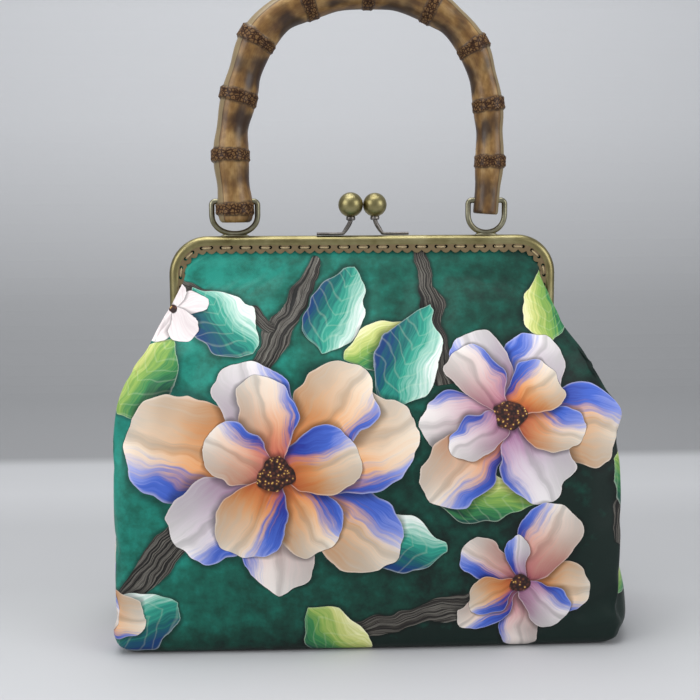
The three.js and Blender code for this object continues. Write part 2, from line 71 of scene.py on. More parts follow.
def node(tree, kind, feeds=None, **settings):
    """One node of a material. What feeds a socket is another node's output or a plain value."""
    made = tree.nodes.new("ShaderNode" + kind)
    for key, value in settings.items():
        setattr(made, key, value)
    for socket, value in (feeds or {}).items():
        if isinstance(value, bpy.types.NodeSocket):
            tree.links.new(value, made.inputs[socket])
        else:
            made.inputs[socket].default_value = value
    return made


def ramp(tree, factor, stops, easing="LINEAR"):
    """A run of colours along a factor."""
    made = node(tree, "ValToRGB", {0: factor})
    made.color_ramp.interpolation = easing
    keys = made.color_ramp.elements
    while len(keys) < len(stops):
        keys.new(1.0)
    for key, (at, colour) in zip(keys, stops):
        key.position = at
        key.color = (*colour, 1) if hasattr(colour, "__len__") else (colour, colour, colour, 1)
    return made.outputs[0]


def maths(tree, operation, *values):
    """One sum on values or other nodes' outputs."""
    return node(tree, "Math", dict(enumerate(values)), operation=operation).outputs[0]


eye_pitch, eye_yaw, eye_roll = (math.radians(a) for a in (6.3, 2.3, -0.32))
heading = Vector((math.sin(eye_yaw), math.cos(eye_yaw), 0))
ahead = heading * math.cos(eye_pitch) - Vector((0, 0, math.sin(eye_pitch)))
sideways = Vector((math.cos(eye_yaw), -math.sin(eye_yaw), 0))
over = sideways.cross(ahead)
right = sideways * math.cos(eye_roll) + over * math.sin(eye_roll)
up = over * math.cos(eye_roll) - sideways * math.sin(eye_roll)
lens = bpy.data.cameras.new("camera")
sensor_width = 36
focal_share = 1.5363
lens.sensor_width = sensor_width
lens.lens = sensor_width * focal_share
eye = bpy.data.objects.new("camera", lens)
eye_at = Vector((-29.5, -560, 209.1)) * mm + Vector((middle_x, 0, 0))
eye.matrix_world = Matrix.Translation(eye_at) @ Matrix((right, up, -ahead)).transposed().to_4x4()
scene.collection.objects.link(eye)
scene.camera = eye

# The paper lies flat up to the cove, curves up through it and then hangs upright, in metres
paper_half = 4
paper_front = -1.6
cove_start = 0.8
cove_radius = 0.7
cove_end = cove_start + cove_radius * math.pi / 2
under_bag = 0.0004
table = bmesh.new()
bmesh.ops.create_grid(table, x_segments=1, y_segments=90, size=1)
for v in table.verts:
    run = (v.co.y + 1) * 2 + paper_front
    turn = min(max((run - cove_start) / cove_radius, 0), math.pi / 2)
    y = min(run, cove_start) + cove_radius * math.sin(turn)
    z = cove_radius * (1 - math.cos(turn)) + max(run - cove_end, 0) * 1.5
    v.co = (v.co.x * paper_half, y, z - under_bag)
table_mesh = bpy.data.meshes.new("table_top")
table.to_mesh(table_mesh)
table.free()
paper, tree, shader = finish("pale paper", {"Roughness": 0.7, "Specular IOR Level": 0.2})
spot = node(tree, "TexCoord").outputs["Object"]
axes = node(tree, "SeparateXYZ", {0: spot}).outputs
tone_start = -0.6
tone_run = 3
back_and_up = maths(tree, "ADD", axes[1], axes[2])
painted_shade_at = maths(tree, "MULTIPLY_ADD", back_and_up, 1 / tone_run, -tone_start / tone_run)
# Painted light and shade on the paper: how light it is drawn from its front to its top, by metres back and up
tones = [(-0.09, 0.5), (0.07, 0.42), (0.2, 0.42), (0.3, 0.485), (0.405, 0.47), (0.44, 0.275), (0.5, 0.28),
         (0.8, 0.31), (1.1, 0.34), (1.25, 0.375), (1.55, 0.525), (1.85, 0.69), (2.1, 0.78)]
stops = [((at - tone_start) / tone_run, (tone * 0.99, tone, tone * 1.03)) for at, tone in tones]
tree.links.new(ramp(tree, painted_shade_at, stops), shader.inputs["Base Color"])
table_mesh.materials.append(paper)
table_top = bpy.data.objects.new("table_top", table_mesh)
scene.collection.objects.link(table_top)

sky = bpy.data.worlds.new("room")
sky.use_nodes = True
glow = sky.node_tree.nodes["Background"].inputs
glow["Color"].default_value = (0.94, 0.97, 1.0, 1)
glow["Strength"].default_value = 0.47
scene.world = sky
for name, place, aim, size, power in [
    ("soft box above", (-0.15, -0.05, 1.25), (0, 0.05, 0.1), 1.0, 13.5),
    ("soft box left", (-1.1, -0.7, 0.65), (0, 0, 0.14), 0.8, 6.8),
    ("soft box right", (1.0, -0.75, 0.55), (0, 0, 0.14), 0.7, 5.4),
]:
    lamp = bpy.data.lights.new(name, "AREA")
    lamp.size = size
    lamp.energy = power
    box = bpy.data.objects.new(name, lamp)
    box.location = place
    box.rotation_euler = (Vector(aim) - Vector(place)).to_track_quat("-Z", "Y").to_euler()
    scene.collection.objects.link(box)

# Purse frame
# Two pressed channels of antiqued brass with a rolled outer edge, hinged at the feet of their arms.
# A row of sewing holes runs along each scalloped edge, one hole to a lobe. Lengths are in mm.
half_width = (frame_high.x - frame_low.x) / 2 / mm
frame_top = frame_high.z / mm
corner_radius = 20
hole_inset = 5.9
hole_radius = 0.95
scallop_depth = 1.6
face_depth = 9.2
flange_start = 4.75
sheet_brass = 0.6
arm_height = 58
hinge_height = frame_top - arm_height
arm_foot = hinge_height + 4.3
lug_radius = 4
lug_sheet = 1.2
corner_x = half_width - corner_radius
corner_z = frame_top - corner_radius
arm_run = corner_z - arm_foot
arc_run = (corner_radius - hole_inset) * math.pi / 2
hole_line = 2 * (arm_run + arc_run + corner_x)
hole_spacing = 5
hole_count = round(hole_line / hole_spacing)
hole_pitch = hole_line / hole_count
# The channel's outer face from the scalloped edge over the roll to the back wall: in from the outer
# edge, then out from the closing plane
channel = [
    (9.2, 3.95), (4.9, 3.95), (4.6, 4.02), (4.3, 4.24), (3.8, 4.44), (3.1, 4.5), (2.3, 4.4), (1.6, 4.12),
    (1.0, 3.66), (0.5, 3.05), (0.15, 2.35), (0, 1.6), (0, 0.7), (0.12, 0.3), (0.45, 0.15), (4.4, 0.15),
]
channel_steps = np.hypot(*np.diff(np.array(channel), axis=0).T)
channel_run = np.concatenate([[0], np.cumsum(channel_steps)])


def along_frame(run, inset):
    """A point of the frame's face by its run along the line of holes, from the left foot to the right."""
    side = -1 if run < hole_line / 2 else 1
    past_top = abs(run - hole_line / 2) - corner_x
    if past_top < 0:
        return side * (past_top + corner_x), frame_top - inset
    if past_top < arc_run:
        angle = past_top / arc_run * math.pi / 2
        reach = corner_radius - inset
        return side * (corner_x + reach * math.sin(angle)), corner_z + reach * math.cos(angle)
    return side * (half_width - inset), corner_z - (past_top - arc_run)


def grown_row(bm, edges, move):
    """Pulls a new row of faces out of a run of edges, and gives the new verts and edges."""
    made = bmesh.ops.extrude_edge_only(bm, edges=edges)["geom"]
    verts = [part for part in made if isinstance(part, bmesh.types.BMVert)]
    row = set(verts)
    edges = [part for part in made if isinstance(part, bmesh.types.BMEdge) and row.issuperset(part.verts)]
    bmesh.ops.transform(bm, matrix=move, verts=verts)
    return verts, edges


def made_piece(bm, name, material, crease=35):
    """Ends a mesh drawn in millimetres round the frame's middle as a piece in metres."""
    bmesh.ops.scale(bm, vec=(mm, mm, mm), verts=bm.verts)
    bmesh.ops.translate(bm, vec=(middle_x, 0, 0), verts=bm.verts)
    mesh = bpy.data.meshes.new(name)
    bm.to_mesh(mesh)
    bm.free()
    mesh.materials.append(material)
    mesh.shade_smooth()
    mesh.set_sharp_from_angle(angle=math.radians(crease))
    piece = bpy.data.objects.new(name, mesh)
    scene.collection.objects.link(piece)
    return piece


def pierced_strip():
    """The channel laid flat: x runs along the holes and y up the channel from the scalloped edge."""
    bm = bmesh.new()
    middle = Vector((hole_pitch / 2, face_depth - hole_inset, 0))
    top = channel_run[1]
    edge_rows = (scallop_depth, middle.y, 3.9, top)
    outline = [(hole_pitch / 2 * side, y - middle.y) for side in (-1, 1) for y in edge_rows]
    outline += [(hole_pitch / 4 * share, top - middle.y) for share in (-1, 0, 1)]
    for share in (0.1, 0.28, 0.5, 0.72, 0.9):
        lobe = scallop_depth * (1 - math.sin(share * math.pi))
        outline.append(((share - 0.5) * hole_pitch, lobe - middle.y))
    outline.sort(key=lambda p: math.atan2(p[1], p[0]))
    place = Matrix.Translation(middle)
    bmesh.ops.create_circle(bm, segments=len(outline), radius=hole_radius, matrix=place)
    verts, _ = grown_row(bm, bm.edges[:], Matrix())
    verts.sort(key=lambda v: math.atan2(v.co.y - middle.y, v.co.x - middle.x))
    for v, point in zip(verts, outline):
        rim = next(e.other_vert(v) for e in v.link_edges if e.other_vert(v) not in verts)
        outward = Vector((*point, 0))
        rim.co = middle + outward.normalized() * hole_radius
        v.co = middle + outward
    cell = bm.verts[:] + bm.edges[:] + bm.faces[:]
    for number in range(1, hole_count):
        copy = bmesh.ops.duplicate(bm, geom=cell)["geom"]
        verts = [part for part in copy if isinstance(part, bmesh.types.BMVert)]
        bmesh.ops.translate(bm, vec=(hole_pitch * number, 0, 0), verts=verts)
    bmesh.ops.remove_doubles(bm, verts=bm.verts, dist=0.01)
    edges = [e for e in bm.edges if all(abs(v.co.y - top) < 0.001 for v in e.verts)]
    for step in channel_steps[1:]:
        _, edges = grown_row(bm, edges, Matrix.Translation((0, step, 0)))
    return bm


def frame_half(side, lug_inset):
    """Bends the strip round the frame, gives it its thickness and adds the hinge lugs."""
    bm = pierced_strip()
    insets, depths = np.array(channel).T
    flange = bm.verts.layers.float.new("flange")
    for v in bm.verts:
        v[flange] = float(v.co.y < face_depth - flange_start)
        x, z = along_frame(v.co.x, np.interp(v.co.y, channel_run, insets))
        v.co = (x, side * np.interp(v.co.y, channel_run, depths), z)
    bmesh.ops.recalc_face_normals(bm, faces=bm.faces)
    on_face = Vector((30, side * 4, frame_top - 7))
    face = min(bm.faces, key=lambda f: (f.calc_center_median() - on_face).length)
    if face.normal.y * side < 0:
        bmesh.ops.reverse_faces(bm, faces=bm.faces)
    bmesh.ops.solidify(bm, geom=bm.faces[:], thickness=sheet_brass)
    for end in (-1, 1):
        lug_x = end * (half_width - lug_inset - lug_sheet / 2)
        turn = Matrix.Translation((lug_x, 0, hinge_height)) @ Matrix.Rotation(math.pi / 2, 4, "Y")
        size = {"radius1": lug_radius, "radius2": lug_radius, "depth": lug_sheet}
        disc = bmesh.ops.create_cone(bm, cap_ends=True, segments=32, matrix=turn, **size)["verts"]
        tab_middle = (lug_x, side * 2.1, hinge_height + 3.5)
        tab = Matrix.Translation(tab_middle) @ Matrix.Diagonal((lug_sheet, 3.4, 7, 1))
        arm = bmesh.ops.create_cube(bm, size=1, matrix=tab)["verts"]
        edges = dict.fromkeys(e for v in disc + arm for e in v.link_edges if e.calc_face_angle(0) > 1)
        chamfer = {"offset": 0.15, "affect": "EDGES", "segments": 1, "profile": 0.5, "material": -1}
        bmesh.ops.bevel(bm, geom=list(edges), **chamfer)
    return bm


def mixed(tree, factor, first, second, how="MIX"):
    """Two colours mixed."""
    pair = {0: factor, 6: first, 7: second}
    for key in (6, 7):
        if isinstance(pair[key], tuple):
            pair[key] = (*pair[key], 1)
    return node(tree, "Mix", pair, data_type="RGBA", blend_type=how).outputs[2]


def speckle(tree, where, scale, detail=2.0, roughness=0.5):
    """Cloudy noise from 0 to 1."""
    feeds = {"Vector": where, "Scale": scale, "Detail": detail, "Roughness": roughness}
    return node(tree, "TexNoise", feeds).outputs[0]


def bumped(tree, shader, height, distance, strength=1.0):
    """Relief on a material."""
    feeds = {"Height": height, "Distance": distance, "Strength": strength}
    tree.links.new(node(tree, "Bump", feeds).outputs[0], shader.inputs["Normal"])


brass, tree, shader = finish("antiqued brass", {"Metallic": 1.0})
spot = node(tree, "TexCoord").outputs["Object"]
cloud = speckle(tree, spot, 90, 4, 0.6)
olives = [(0.25, (0.17, 0.14, 0.06)), (0.5, (0.27, 0.235, 0.11)), (0.75, (0.36, 0.32, 0.17))]
tone = ramp(tree, cloud, olives)
flange = node(tree, "Attribute", attribute_name="flange").outputs["Fac"]
tone = mixed(tree, maths(tree, "MULTIPLY", flange, 0.65), tone, (0.27, 0.185, 0.115))
tree.links.new(tone, shader.inputs["Base Color"])
grain = speckle(tree, spot, 1400, 2)
gloss = maths(tree, "MULTIPLY_ADD", flange, 0.1, maths(tree, "MULTIPLY_ADD", cloud, 0.2, 0.27))
tree.links.new(gloss, shader.inputs["Roughness"])
bumped(tree, shader, grain, 0.00005, 0.3)

for name, side, lug_inset in [("front", -1, 0.3), ("back", 1, 1.8)]:
    half = made_piece(frame_half(side, lug_inset), f"purse_frame_{name}", brass, 50)
    edge = half.modifiers.new("rounded rims", "BEVEL")
    edge.width = 0.12 * mm
    edge.segments = 1
    edge.limit_method = "ANGLE"
    edge.angle_limit = math.radians(50)
    edge.harden_normals = True
    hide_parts(f"frame_{name}")
    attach(half, "bag")

# Sewing thread
# Gold-coloured thread sews the cloth to each half of the frame. It is a running stitch: it shows on
# the face between every other pair of holes.
thread_radius = 0.4
thread_under = 3.1
thread_rise = 1.15
stitch_start = 0.57
stitch_length = 0.86


def swept(bm, line, girths, sides, closed=False):
    """Draws a round section along a line. Each girth is its half width in and out of the line's plane."""
    line = [Vector(point) for point in line]
    places = []
    for number, (point, (wide, deep)) in enumerate(zip(line, girths)):
        before = line[number - 1] if closed or number else point
        after = line[(number + 1) % len(line)] if closed or number + 1 < len(line) else point
        tangent = (after - before).normalized()
        inward = Vector((0, 1, 0)).cross(tangent).normalized()
        across = tangent.cross(inward)
        turn = Matrix((inward * wide, across * deep, tangent)).transposed().to_4x4()
        places.append(Matrix.Translation(point) @ turn)
    if closed:
        places.append(places[0])
    ring = bmesh.ops.create_circle(bm, segments=sides, radius=1, matrix=places[0])["verts"]
    rings = [ring]
    edges = list(dict.fromkeys(e for v in ring for e in v.link_edges))
    ends = [edges]
    for before, after in zip(places, places[1:]):
        ring, edges = grown_row(bm, edges, after @ before.inverted())
        rings.append(ring)
    ends.append(edges)
    if closed:
        bmesh.ops.remove_doubles(bm, verts=rings[0] + rings[-1], dist=0.001)
    else:
        for end in ends:
            bmesh.ops.edgeloop_fill(bm, edges=end)


thread_finish = {"Roughness": 0.45, "Sheen Weight": 0.4, "Specular IOR Level": 0.6}
gold, tree, shader = finish("gold thread", thread_finish)
spot = node(tree, "TexCoord").outputs["Object"]
strands = speckle(tree, spot, 2600, 1)
tone = ramp(tree, strands, [(0.3, (0.20, 0.135, 0.055)), (0.6, (0.46, 0.35, 0.17))])
tree.links.new(tone, shader.inputs["Base Color"])
bumped(tree, shader, strands, 0.0001, 0.6)

for name, side in [("front", -1), ("back", 1)]:
    bm = bmesh.new()
    for number in range(0, hole_count - 1, 2):
        line = []
        for share in (0, 0.06, 0.16, 0.32, 0.5, 0.68, 0.84, 0.94, 1):
            rise = math.sin(share * math.pi) ** 0.45
            run = (number + stitch_start + share * stitch_length) * hole_pitch
            x, z = along_frame(run, hole_inset + 0.35 * rise)
            line.append((x, side * (thread_under + thread_rise * rise), z))
        swept(bm, line, [(thread_radius, thread_radius)] * len(line), 8)
    bmesh.ops.recalc_face_normals(bm, faces=bm.faces)
    stitches = made_piece(bm, f"stitching_{name}", gold, 60)
    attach(stitches, "bag")

# Hinge rivets
# A small dark rivet with two low heads holds the lugs of the two halves together at each arm's foot.
# It lies inside the fold of the cloth.
def worn_metal(name, cloud_scale, cloud_detail, tones, gloss, grain_scale):
    """A metal whose tone and gloss change in soft clouds, with a fine grain."""
    metal, tree, shader = finish(name, {"Metallic": 1.0})
    spot = node(tree, "TexCoord").outputs["Object"]
    cloud = speckle(tree, spot, cloud_scale, cloud_detail)
    tree.links.new(ramp(tree, cloud, tones), shader.inputs["Base Color"])
    tree.links.new(maths(tree, "MULTIPLY_ADD", cloud, *gloss), shader.inputs["Roughness"])
    bumped(tree, shader, speckle(tree, spot, grain_scale), 0.00005, 0.3)
    return metal


def turned(bm, profile, place, steps=40):
    """Turns a profile of radius and height about its own upright axis, and puts it in place."""
    made_before = set(bm.verts)
    verts = [bm.verts.new((radius, 0, height)) for radius, height in profile]
    edges = [bm.edges.new(pair) for pair in zip(verts, verts[1:])]
    bmesh.ops.spin(bm, geom=verts + edges, axis=(0, 0, 1), steps=steps, angle=2 * math.pi, use_merge=True)
    bmesh.ops.remove_doubles(bm, verts=[v for v in bm.verts if v not in made_before], dist=0.001)
    bmesh.ops.transform(bm, matrix=place, verts=[v for v in bm.verts if v not in made_before])


greys = [(0.3, (0.11, 0.10, 0.095)), (0.7, (0.27, 0.25, 0.23))]
dark = worn_metal("dark plated steel", 220, 3, greys, (0.25, 0.2), 1500)
shank_half = 1.65
head = [(0, shank_half + 0.8), (1.1, shank_half + 0.72), (1.9, shank_half + 0.4), (2.2, shank_half)]
head.append((1, shank_half))
for name, side in [("left", -1), ("right", 1)]:
    bm = bmesh.new()
    middle = Matrix.Translation((side * (half_width - shank_half), 0, hinge_height))
    other_head = [(radius, -height) for radius, height in reversed(head)]
    turned(bm, head + other_head, middle @ Matrix.Rotation(math.pi / 2, 4, "Y"), 24)
    bmesh.ops.recalc_face_normals(bm, faces=bm.faces)
    rivet = made_piece(bm, f"rivet_{name}", dark)
    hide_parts(f"hinge_rivet_{name}")
    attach(rivet, "bag")

# D-rings
# Each ring is bent from one dull brass wire: a straight bar through the bamboo, two tight corners and
# a round bowl, which is soldered down on the back half of the frame.
ring_wire = 1.45
ring_corner = 0.6 + ring_wire
bar_height = frame_top + 17.8
bowl_depth = 10.2
ring_y = 2.25
rings = {"left": (-66.15, 9.75), "right": (64.6, 7.5)}

dull_tones = [(0.3, (0.17, 0.155, 0.095)), (0.7, (0.38, 0.36, 0.26))]
ring_brass = worn_metal("dull brass wire", 160, 4, dull_tones, (0.2, 0.24), 1200)

for name, (ring_x, leg_radius) in rings.items():
    half = leg_radius + ring_corner
    low = frame_top + ring_wire - 0.3
    corner = []
    for turn in np.linspace(0, math.pi / 2, 9):
        inward, down = ring_corner * (1 - math.sin(turn)), ring_corner * (1 - math.cos(turn))
        corner.append((half - inward, bar_height - down))
    line = [(0, bar_height)] + corner
    for turn in np.linspace(0, math.pi, 40):
        drop = math.sin(turn) ** 0.85
        line.append((half * math.cos(turn), low + bowl_depth * (1 - drop)))
    line += [(-x, z) for x, z in reversed(corner)]
    bm = bmesh.new()
    line = [(ring_x + x, ring_y, z) for x, z in line]
    swept(bm, line, [(ring_wire, ring_wire)] * len(line), 20, closed=True)
    solder_size = Matrix.Diagonal((half * 0.62, 2.0, 1.5, 1))
    solder = Matrix.Translation((ring_x, ring_y, frame_top - 0.1)) @ solder_size
    bmesh.ops.create_uvsphere(bm, u_segments=32, v_segments=12, radius=1, matrix=solder)
    bmesh.ops.recalc_face_normals(bm, faces=bm.faces)
    ring = made_piece(bm, f"d_ring_{name}", ring_brass, 60)
    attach(ring, "bag")

# Kiss lock
# Two solid brass balls snap past each other. Each sits on a dark collar and strip, whose foot is
# soldered along the top of its half of the frame and bends up to the ball.
balls = {"left": (-1, 12.8, -6.3), "right": (1, 12.3, 6.3)}
ball_offset = 1.0
foot_offset = 2.25
ball_rise = 15.7
collar = 2.3
strip_bend = [(17.6, 0), (5.2, 0), (3.7, 0.1), (2.4, 0.34), (0.8, 0.7), (0, 1)]


def eased(knots, values, at):
    """A smooth curve through a table's values."""
    knots, values, at = (np.asarray(numbers, float) for numbers in (knots, values, at))
    slopes = np.gradient(values, knots)
    low = np.clip(np.searchsorted(knots, at, side="right") - 1, 0, len(knots) - 2)
    high = low + 1
    gap = knots[high] - knots[low]
    t = np.clip((at - knots[low]) / gap, 0, 1)
    rise = (values[high] - values[low]) * (3 * t**2 - 2 * t**3)
    lean = gap * ((t - 2 * t**2 + t**3) * slopes[low] - (t**2 - t**3) * slopes[high])
    return values[low] + rise + lean


for name, (side, diameter, ball_x) in balls.items():
    radius = diameter / 2
    ball_z = frame_top + ball_rise
    ball_y = side * ball_offset
    bm = bmesh.new()
    start = math.asin(collar * 0.85 / radius)
    arc = [(radius * math.sin(a), -radius * math.cos(a)) for a in np.linspace(start, math.pi, 28)]
    underside = [(0, arc[0][1] - 0.2), (collar * 0.85, arc[0][1] - 0.2)]
    turned(bm, underside + arc, Matrix.Translation((ball_x, ball_y, ball_z)), 56)
    bmesh.ops.recalc_face_normals(bm, faces=bm.faces)
    ball = made_piece(bm, f"kiss_lock_ball_{name}", brass)
    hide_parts(f"clasp_ball_{name}")
    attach(ball, "bag")

    bm = bmesh.new()
    bottom = frame_top + 0.9
    top = ball_z - radius - 1.4
    foot_y = side * foot_offset
    knots = range(len(strip_bend))
    at = np.linspace(0, len(strip_bend) - 1, 41)
    outs, ups = (eased(knots, [row[i] for row in strip_bend], at) for i in (0, 1))
    line = []
    girths = []
    for out, rise in zip(outs, ups):
        line.append((ball_x + side * out, foot_y + (ball_y - foot_y) * rise, bottom + (top - bottom) * rise))
        girths.append((0.75 + 0.4 * min(max(rise * 3, 0), 1), 1.5))
    swept(bm, line, girths, 16)
    cup = [(0, -1.7), (1.6, -1.7), (collar, -1.3), (collar + 0.1, -0.6), (collar, 0.2)]
    cup += [(collar * 0.8, 0.5), (0, 0.5)]
    turned(bm, cup, Matrix.Translation((ball_x, ball_y, ball_z - radius)), 32)
    bmesh.ops.recalc_face_normals(bm, faces=bm.faces)
    strip = made_piece(bm, f"kiss_lock_strip_{name}", dark, 50)
    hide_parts(f"clasp_post_{name}")
    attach(strip, "bag")

# Bamboo handle
# One culm of bamboo, smoked, steamed and bent to an arch, thicker at its left leg. Its nodes are raised
# scaly rings, and the rings' bars pass through bores near its ends.
half_span = 67
arch_rise = 123.5
culm_radius = 10
band_half = 2.95
# Across, up and girth as shares of the half span, the rise and the radius, then 1 for a node
culm = [
    (-0.985, 0.056, 0.90, 0), (-0.986, 0.113, 0.97, 1), (-1.0, 0.21, 0.86, 0), (-1.013, 0.332, 1.0, 1),
    (-0.997, 0.447, 0.85, 0), (-0.945, 0.571, 1.0, 1), (-0.896, 0.673, 0.86, 0), (-0.797, 0.802, 1.0, 1),
    (-0.618, 0.905, 0.87, 0), (-0.41, 0.956, 0.98, 1), (-0.194, 0.987, 0.86, 0), (0.042, 1.0, 0.96, 1),
    (0.28, 0.987, 0.83, 0), (0.533, 0.939, 0.93, 1), (0.698, 0.878, 0.78, 0), (0.854, 0.772, 0.88, 1),
    (0.934, 0.652, 0.74, 0), (0.975, 0.538, 0.84, 1), (0.989, 0.422, 0.7, 0), (0.99, 0.305, 0.8, 1),
    (0.978, 0.192, 0.68, 0), (0.963, 0.087, 0.69, 0),
]
culm_x = [row[0] * half_span for row in culm]
culm_z = [frame_top + row[1] * arch_rise for row in culm]
chords = np.concatenate([[0], np.cumsum(np.hypot(np.diff(culm_x), np.diff(culm_z)))])
stations = np.linspace(0, chords[-1], 420)
line_x, line_z = eased(chords, culm_x, stations), eased(chords, culm_z, stations)
# The stem's radius by the run along the culm, flared a little towards each node
knots = []
for number, (run, row) in enumerate(zip(chords, culm)):
    girth = row[2] * culm_radius
    if row[3]:
        knots += [(run - band_half - 0.6, girth * 0.945), (run + band_half + 0.6, girth * 0.945)]
    elif number == 0:
        knots += [(0, girth * 0.8), (1.2, girth * 0.96), (3, girth)]
    elif number == len(culm) - 1:
        knots += [(run - 0.9, girth), (run, girth * 0.93)]
    else:
        knots += [(run, girth)]
stem_run, stem_radius = np.array(knots).T
nodes_run = [(run, row[2] * culm_radius) for run, row in zip(chords, culm) if row[3]]

# A grid wrapped round the culm: the nodes' bands have toothed edges and scaly faces, and between them
# the outer side is a little flat. The marks tell the material where each point lies.
bm = bmesh.new()
mark_names = ("along", "turn_out", "turn_front", "band", "lip", "waist")
marks = {name: bm.verts.layers.float.new(name) for name in mark_names}
sides = 80
line = [(x, ring_y, z) for x, z in zip(line_x, line_z)]
bmesh.ops.create_grid(bm, x_segments=sides, y_segments=len(line) - 1, size=1)
rows = [[] for _ in line]
for v in bm.verts:
    rows[round((v.co.y + 1) / 2 * (len(line) - 1))].append(v)
rough = random.Random(3)
waves = [(rough.uniform(0, 6.28), rough.uniform(0, 6.28), rough.uniform(0, 6.28)) for _ in nodes_run]
for number, row in enumerate(rows):
    centre = Vector(line[number])
    run = stations[number]
    low = min(max(np.searchsorted(stem_run, run) - 1, 0), len(stem_run) - 2)
    high = low + 1
    t = min(max((run - stem_run[low]) / (stem_run[high] - stem_run[low]), 0), 1)
    stem = stem_radius[low] + (stem_radius[high] - stem_radius[low]) * (3 * t * t - 2 * t**3)
    near = min(range(len(nodes_run)), key=lambda n: abs(run - nodes_run[n][0]))
    node_run, node_radius = nodes_run[near]
    after, before = min(number + 1, len(line) - 1), max(number - 1, 0)
    outward = Vector((line_z[before] - line_z[after], 0, line_x[after] - line_x[before])).normalized()
    for v in row:
        angle = round((v.co.x + 1) / 2 * sides) * 2 * math.pi / sides
        angle -= 2 * math.pi * round(angle / (2 * math.pi))
        turn_out, turn_front = math.cos(angle), math.sin(angle)
        out = outward * turn_out + Vector((0, -turn_front, 0))
        wave, tooth, lean = waves[near]
        edge = band_half + 0.25 * math.sin(5 * angle + wave) + 0.3 * abs(math.sin(6.5 * angle + tooth)) - 0.15
        gap = abs(run - node_run - 0.3 * math.sin(angle + lean)) - edge
        inside = min(max(0.5 - gap / 1.1, 0), 1)
        ridge = 0.2 * math.exp(-((gap + 0.7) / 0.5) ** 2)
        scales = 0.12 * math.sin(13 * angle + 2.1 * run + wave) * math.sin(1.9 * run + 7 * angle + tooth)
        flat = 0.75 * math.exp(-((angle / 0.6) ** 2)) * (1 - inside)
        swell = 0.12 * math.sin(2 * angle + run * 0.07 + 1) + 0.06 * math.sin(3 * angle - run * 0.11)
        radius = stem - flat + swell + (node_radius - stem) * inside + (ridge + scales) * inside
        v.co = centre + out * radius
        v[marks["along"]] = run / 10
        v[marks["turn_out"]] = turn_out
        v[marks["turn_front"]] = turn_front
        v[marks["band"]] = inside
        v[marks["lip"]] = math.exp(-((gap - 0.1) / 0.5) ** 2)
        v[marks["waist"]] = min(max(gap / 9, 0), 1)
bmesh.ops.remove_doubles(bm, verts=bm.verts, dist=0.001)
for end in (line[0], line[-1]):
    rim = [e for e in bm.edges if e.is_boundary and (e.verts[0].co - Vector(end)).length < 12]
    bmesh.ops.edgeloop_fill(bm, edges=rim)
bmesh.ops.recalc_face_normals(bm, faces=bm.faces)

bamboo, tree, shader = finish("smoked bamboo", {"Coat Weight": 0.2, "Coat Roughness": 0.25})
along, turn_out, turn_front, band, lip, waist = (
    node(tree, "Attribute", attribute_name=name).outputs["Fac"] for name in mark_names
)


def round_culm(around, lengthwise):
    """Noise space round the culm: how fast it changes round the culm and along it."""
    scales = ((turn_out, around), (turn_front, around), (along, lengthwise))
    parts = [maths(tree, "MULTIPLY", mark, scale) for mark, scale in scales]
    return node(tree, "CombineXYZ", dict(enumerate(parts))).outputs[0]


# Golden stems, smoked dark at their waists, with painted shade on the arch's inner side and a painted
# highlight along the outer side, a pale strip with a dark edge line; dark lips beside the nodes and
# flaky brown bark on them
fibre = speckle(tree, round_culm(26, 0.5), 1.0, 3, 0.6)
smoke = speckle(tree, round_culm(1.0, 0.6), 1.0, 2, 0.4)
stain = speckle(tree, round_culm(1.5, 1.2), 1.0, 3, 0.5)
tan_at = maths(tree, "ADD", maths(tree, "MULTIPLY", stain, 0.8), maths(tree, "MULTIPLY", fibre, 0.2))
golds = [(0.32, (0.10, 0.043, 0.011)), (0.5, (0.22, 0.115, 0.033)), (0.68, (0.40, 0.25, 0.095))]
stem_tone = ramp(tree, tan_at, golds)
# Painted shade: the arch's inner side is drawn darker, mixed with the real smoke marks
inner_shade_and_smoke = maths(tree, "MULTIPLY_ADD", turn_out, -0.14, maths(tree, "MULTIPLY", smoke, 0.8))
smoke_and_shade_at = maths(tree, "MULTIPLY_ADD", waist, 0.24, inner_shade_and_smoke)
smoke_and_inner_shade = ramp(tree, smoke_and_shade_at, [(0.52, 0.0), (0.76, 0.9)], "EASE")
smoked_and_shaded = mixed(tree, smoke_and_inner_shade, stem_tone, (0.024, 0.010, 0.006))
# Painted highlight: a pale strip along the outer side of the arch, with a dark line at its edge
highlight_strip_at = maths(tree, "MULTIPLY_ADD", stain, 0.12, maths(tree, "ADD", turn_out, -0.06))
strip = ramp(tree, highlight_strip_at, [(0.56, 0.0), (0.62, 0.8)], "EASE")
with_painted_highlight = mixed(tree, strip, smoked_and_shaded, (0.25, 0.195, 0.105))
highlight_edge_line = ramp(tree, highlight_strip_at, [(0.52, 0.0), (0.565, 0.7), (0.61, 0.0)], "EASE")
lined = mixed(tree, highlight_edge_line, with_painted_highlight, (0.030, 0.014, 0.008))
ringed = mixed(tree, maths(tree, "MULTIPLY", lip, 0.9), lined, (0.018, 0.008, 0.005))
bark_at = round_culm(6.5, 7.5)
flake_feeds = {"Vector": bark_at, "Scale": 0.8, "Randomness": 1.0}
flakes = node(tree, "TexVoronoi", flake_feeds, feature="DISTANCE_TO_EDGE").outputs[0]
rough_bark = speckle(tree, bark_at, 1.7, 3, 0.7)
flake_tone = ramp(tree, maths(tree, "MULTIPLY_ADD", rough_bark, 0.35, flakes), [
    (0.16, (0.014, 0.006, 0.003)),
    (0.28, (0.06, 0.024, 0.009)),
    (0.44, (0.20, 0.11, 0.042)),
    (0.62, (0.09, 0.038, 0.014)),
])
tree.links.new(mixed(tree, band, ringed, flake_tone), shader.inputs["Base Color"])
